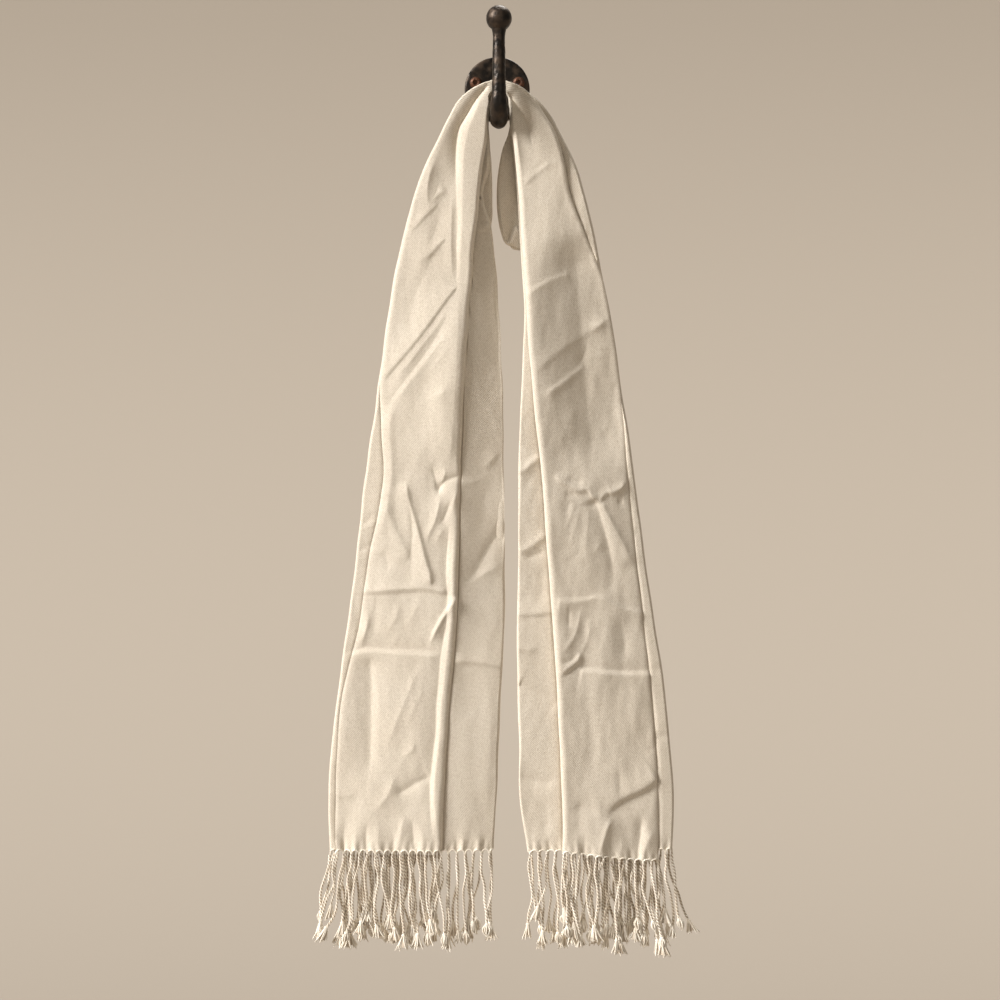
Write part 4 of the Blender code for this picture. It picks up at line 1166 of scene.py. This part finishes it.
def twillGroup():
    # fine diagonal lines crossed by yarns, sin(2 * pi * ((across + down) / line + shift)) and
    # sin(2 * pi * (across / yarn + shift)); the vector is the cloth's own uv in metres
    group, given, result = newGroup(
        "twill weave", {"Vector": None, "Line": 0.0025, "Yarn": 0.0011, "Unevenness": 1.1},
        ("Height", "Shade"))
    wobble, slub = (noise(group, given["Vector"], *weave[name]) for name in ("wobble", "slub"))
    across, down = addNode(group, "ShaderNodeSeparateXYZ", {"Vector": given["Vector"]}).outputs[:2]
    shift = mathNode(group, "MULTIPLY", wobble, given["Unevenness"])
    height, *steps = weave["heights"]
    diagonal = mathNode(group, "ADD", across, down)
    for place, size, step in ((diagonal, given["Line"], steps[0]), (across, given["Yarn"], steps[1])):
        turns = mathNode(group, "ADD", mathNode(group, "DIVIDE", place, size), shift)
        line = mathNode(group, "SINE", mathNode(group, "MULTIPLY", turns, fullTurn))
        height = mathNode(group, "MULTIPLY_ADD", line, step, height)
    shade = 0.0
    for part, amount in zip((wobble, height, slub), weave["shades"]):
        shade = mathNode(group, "MULTIPLY_ADD", part, amount, shade)
    feed(group, result["Height"], height)
    feed(group, result["Shade"], mathNode(group, "MULTIPLY_ADD", shade, *weave["contrast"]))
    return group


def mottleGroup():
    # a cloudy mask between 0 and 1
    group, given, result = newGroup(
        "mottle", {"Vector": None, "Scale": 20.0, "Low": 0.4, "High": 0.6, "Detail": 5.0}, ("Mask",))
    cloud = noise(group, given["Vector"], given["Scale"], given["Detail"])
    values = {"Value": cloud, "From Min": given["Low"], "From Max": given["High"]}
    feed(group, result["Mask"], addNode(group, "ShaderNodeMapRange", values).outputs["Result"])
    return group


def objectPlace(tree):
    return addNode(tree, "ShaderNodeTexCoord").outputs["Object"]


def clothUvOf(tree):
    return addNode(tree, "ShaderNodeUVMap", uv_map="cloth").outputs["UV"]


def mottled(tree, place, clouds, colours):
    # two colours in clouds of a scale, a low and a high, and the mask between them
    values = {"Vector": place, **dict(zip(("Scale", "Low", "High"), clouds))}
    mask = addNode(tree, "ShaderNodeGroup", values, node_tree=mottle).outputs["Mask"]
    return mixColours(tree, mask, *colours), mask


def addBump(tree, shader, bump, height):
    values = {"Strength": bump[0], "Distance": bump[1], "Height": height}
    feed(tree, shader["Normal"], addNode(tree, "ShaderNodeBump", values).outputs["Normal"])


def creamCloth():
    material, tree, shader = newMaterial(
        "cream twill", Roughness=0.82, Sheen_Weight=0.25, Sheen_Roughness=0.45,
        Sheen_Tint=finish["sheenTint"], Specular_IOR_Level=0.25)
    look, place = finish["cloth"], objectPlace(tree)
    woven = addNode(tree, "ShaderNodeGroup", node_tree=twill)
    feed(tree, woven.inputs["Vector"], clothUvOf(tree))
    base = mottled(tree, place, look["clouds"], look["colours"])[0]
    share = mathNode(tree, "MULTIPLY", woven.outputs["Shade"], look["weaveShare"])
    feed(tree, shader["Base Color"], mixColours(tree, share, base, look["gaps"]))
    nap = noise(tree, place, *look["nap"])
    height = mathNode(tree, "MULTIPLY_ADD", nap, look["napHeight"], woven.outputs["Height"])
    addBump(tree, shader, look["bump"], height)
    return material


def creamYarn():
    # its uv map holds a painted shade: dark in the grooves between the plies and on the tufts' cores between
    # the strands, and a little darker on the strands
    material, tree, shader = newMaterial(
        "cream yarn", Roughness=0.85, Sheen_Weight=0.3, Sheen_Tint=finish["sheenTint"],
        Specular_IOR_Level=0.25)
    look, place = finish["yarn"], objectPlace(tree)
    base = mottled(tree, place, look["clouds"], look["colours"])[0]
    shade = addNode(tree, "ShaderNodeSeparateXYZ", {"Vector": clothUvOf(tree)}).outputs["X"]
    # painted shade: the base colour is mixed towards the dark shade colour by the uv map's first coordinate
    feed(tree, shader["Base Color"], mixColours(tree, shade, look["paintedShadeColour"], base))
    addBump(tree, shader, look["bump"], noise(tree, place, *look["fibres"]))
    return material


def wornMetal(name, colours, rough, metallic, patch, dentScale, dentDepth):
    # a dark skin with lighter worn or rusty patches and small hammered dents
    material, tree, shader = newMaterial(name, Metallic=metallic)
    place = objectPlace(tree)
    base, mask = mottled(tree, place, (patch, *finish["patches"]), colours)
    feed(tree, shader["Base Color"], base)
    feed(tree, shader["Roughness"], mathNode(tree, "MULTIPLY_ADD", mask, finish["patchRougher"], rough))
    values = {"Vector": place, "Scale": dentScale, "Smoothness": 1.0}
    dents = addNode(tree, "ShaderNodeTexVoronoi", values, feature="SMOOTH_F1").outputs["Distance"]
    finer, detail, height = finish["grain"]
    grain = noise(tree, place, dentScale * finer, detail)
    bumps = mathNode(tree, "MULTIPLY_ADD", grain, height, dents)
    addBump(tree, shader, (finish["metalBump"], dentDepth), bumps)
    return material


twill, mottle = twillGroup(), mottleGroup()
clothFinish, yarnFinish = creamCloth(), creamYarn()
ironFinish, rustFinish = wornMetal("cast iron", **finish["iron"]), wornMetal("rusted screw", **finish["rust"])
print("finishes made")

# camera

camera = {"place": (0.0030, -2.350, -0.4356), "lens": 79.54, "sensor": 36.0}
cameraData = bpy.data.cameras.new("camera")
cameraData.lens, cameraData.sensor_width = camera["lens"], camera["sensor"]
scene.camera = addObject("camera", cameraData)
scene.camera.location = camera["place"]
scene.camera.rotation_euler = (math.radians(90), 0, 0)

# making the scarf

tails = {
    "left": {
        "cuts": leftTail,
        "creases": (leftFrontCreases, leftRearCreases, leftBackCreases),
        "sag": (leftSag, leftTail, leftSagCreases),
        "seed": 11,
        "bottoms": (-178, -169, -162, -153, -143, -122, -106, -99, -89, -71, -64, -47, -36, -28, -15, -6),
        "spread": (14.0, 4.0),
    },
    "right": {
        "cuts": rightTail,
        "creases": (rightFrontCreases, rightRearCreases, rightBackCreases),
        "sag": (rightSag, rightTail, rightSagCreases),
        "seed": 31,
        "bottoms": (32, 42, 50, 60, 74, 84, 92, 104, 112, 126, 134, 146, 157, 167, 178, 190),
        "spread": (-4.0, 16.0),
    },
}


def assign(piece, slot, *nodes):
    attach(piece, "root")
    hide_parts(*nodes)
    return piece


for (side, tail), (rows, run) in zip(tails.items(), scarfCuts()):
    seed = tail["seed"]
    grid, normal, uv, split = tailSurface(side, rows, run, tail["creases"], seed)
    for half, columns in (("front", slice(0, split)), ("back", slice(split - 1, None))):
        area = (slice(0, len(grid) - cloth["hemRows"]), columns)
        shell = clothShell(f"{side}_{half}_cloth", grid[area], normal[area], uv[area], clothFinish,
                           cloth["thickness"])
        assign(shell, "cloth", f"{side}_{half}", "saddle")
    corded = cordPlaces(grid[-1])
    band = assign(hemBand(f"{side}_hem", grid, uv, corded, clothFinish), "cloth")
    cords = twistedFringe(f"{side}_cords", grid[-1], corded, tail["bottoms"], tail["spread"], seed + 7,
                          yarnFinish)
    assign(cords, "fringe", f"{side}_fringe")
    loop = saggingFold(f"{side}_sagging_fold", *tail["sag"], seed + 9, clothFinish)
    assign(loop, "cloth", f"{side}_sag")
    print(f"{side} tail: {len(grid)} rows, {grid.shape[1]} columns, {len(corded)} cords")

# making the hook

assign(castHook("cast_hook", ironFinish), "hook", "hook")
for seed, side, way in ((3, "left", -1), (4, "right", 1)):
    head = roundScrew(f"{side}_screw_head", way * screw["spacing"] / 2, seed, rustFinish)
    assign(head, "screws", f"screw_{side}")
print("hook and screws made")

# floor, backdrop and light

stage = {
    "floor": -1.30,
    "front": -9.0,
    "back": 3.2,
    "curve": 2.2,
    "curveSteps": 24,
    "top": 1.7,
    "halfWidth": 9.0,
    "colour": (0.425, 0.372, 0.31),
    "world": (1.0, 0.93, 0.83),
    "worldStrength": 0.20,
    "distance": (0.597, 0.509, 0.402),  # what shows past the edges of the backdrop
}
# name, kind, place, power, colour, and its angle in degrees or its size; all shine at one point
lamps = (
    ("key", "SUN", (-1.75, -0.86, 0.70), 5.65, (1.0, 0.975, 0.945), 22),
    ("fill", "AREA", (0.8, -2.6, 0.2), 4.5, (1.0, 0.90, 0.78), 1.2),
    ("rear", "SUN", (0.25, 0.9, 0.9), 2.3, (1.0, 0.95, 0.89), 35),
)
litPoint = (0, 0, -0.42)


def sweptBackdrop():
    # the floor, a quarter circle up, and an upright wall, as one profile carried sideways
    bend = np.linspace(0, math.pi / 2, stage["curveSteps"])
    curve, back, floor = stage["curve"], stage["back"], stage["floor"]
    y = np.concatenate([[stage["front"]], back - curve * (1 - np.sin(bend)), [back]])
    z = np.concatenate([[floor], floor + curve * (1 - np.cos(bend)), [stage["top"]]])
    x = np.array([-stage["halfWidth"], stage["halfWidth"]])
    points = np.stack([np.tile(x, len(y)), np.repeat(y, 2), np.repeat(z, 2)], -1) / mm
    low = np.arange(len(y) - 1) * 2
    material = newMaterial("pale backdrop", Roughness=0.95, Base_Color=stage["colour"])[0]
    makePiece("floor", points, [np.stack([low, low + 1, low + 3, low + 2], -1)], material)


def lampAt(name, kind, start, power, colour, size):
    data = bpy.data.lights.new(name, kind)
    data.energy, data.color = power, colour
    if kind == "SUN":
        data.angle = math.radians(size)
    else:
        data.size = size
    lamp = addObject(name, data)
    lamp.location = start
    x, y, z = np.array(litPoint) - np.array(start)
    lamp.rotation_euler = (math.acos(-z / math.hypot(x, y, z)), 0, math.atan2(y, x) - math.pi / 2)
    lamp.visible_camera = False
    return lamp


sweptBackdrop()
for row in lamps:
    lamp = lampAt(*row)
# the last lamp, the rear one, shines on everything but the floor
litFromBehind = bpy.data.collections.new("lit from behind")
for piece in scene.objects:
    if piece.type == "MESH" and piece.name != "floor":
        litFromBehind.objects.link(piece)
lamp.light_linking.receiver_collection = litFromBehind
world = bpy.data.worlds.new("studio")
world.use_nodes = True
tree = world.node_tree
light = tree.nodes["Background"]
feed(tree, light.inputs["Color"], stage["world"])
feed(tree, light.inputs["Strength"], stage["worldStrength"])
seen = addNode(tree, "ShaderNodeLightPath").outputs["Is Camera Ray"]
distance = addNode(tree, "ShaderNodeBackground", {"Color": stage["distance"]})
chosen = addNode(tree, "ShaderNodeMixShader", {0: seen, 1: light.outputs[0], 2: distance.outputs[0]})
feed(tree, tree.nodes["World Output"].inputs["Surface"], chosen.outputs[0])
scene.world = world
scene.view_settings.view_transform = "Standard"
print("stage and lamps set")
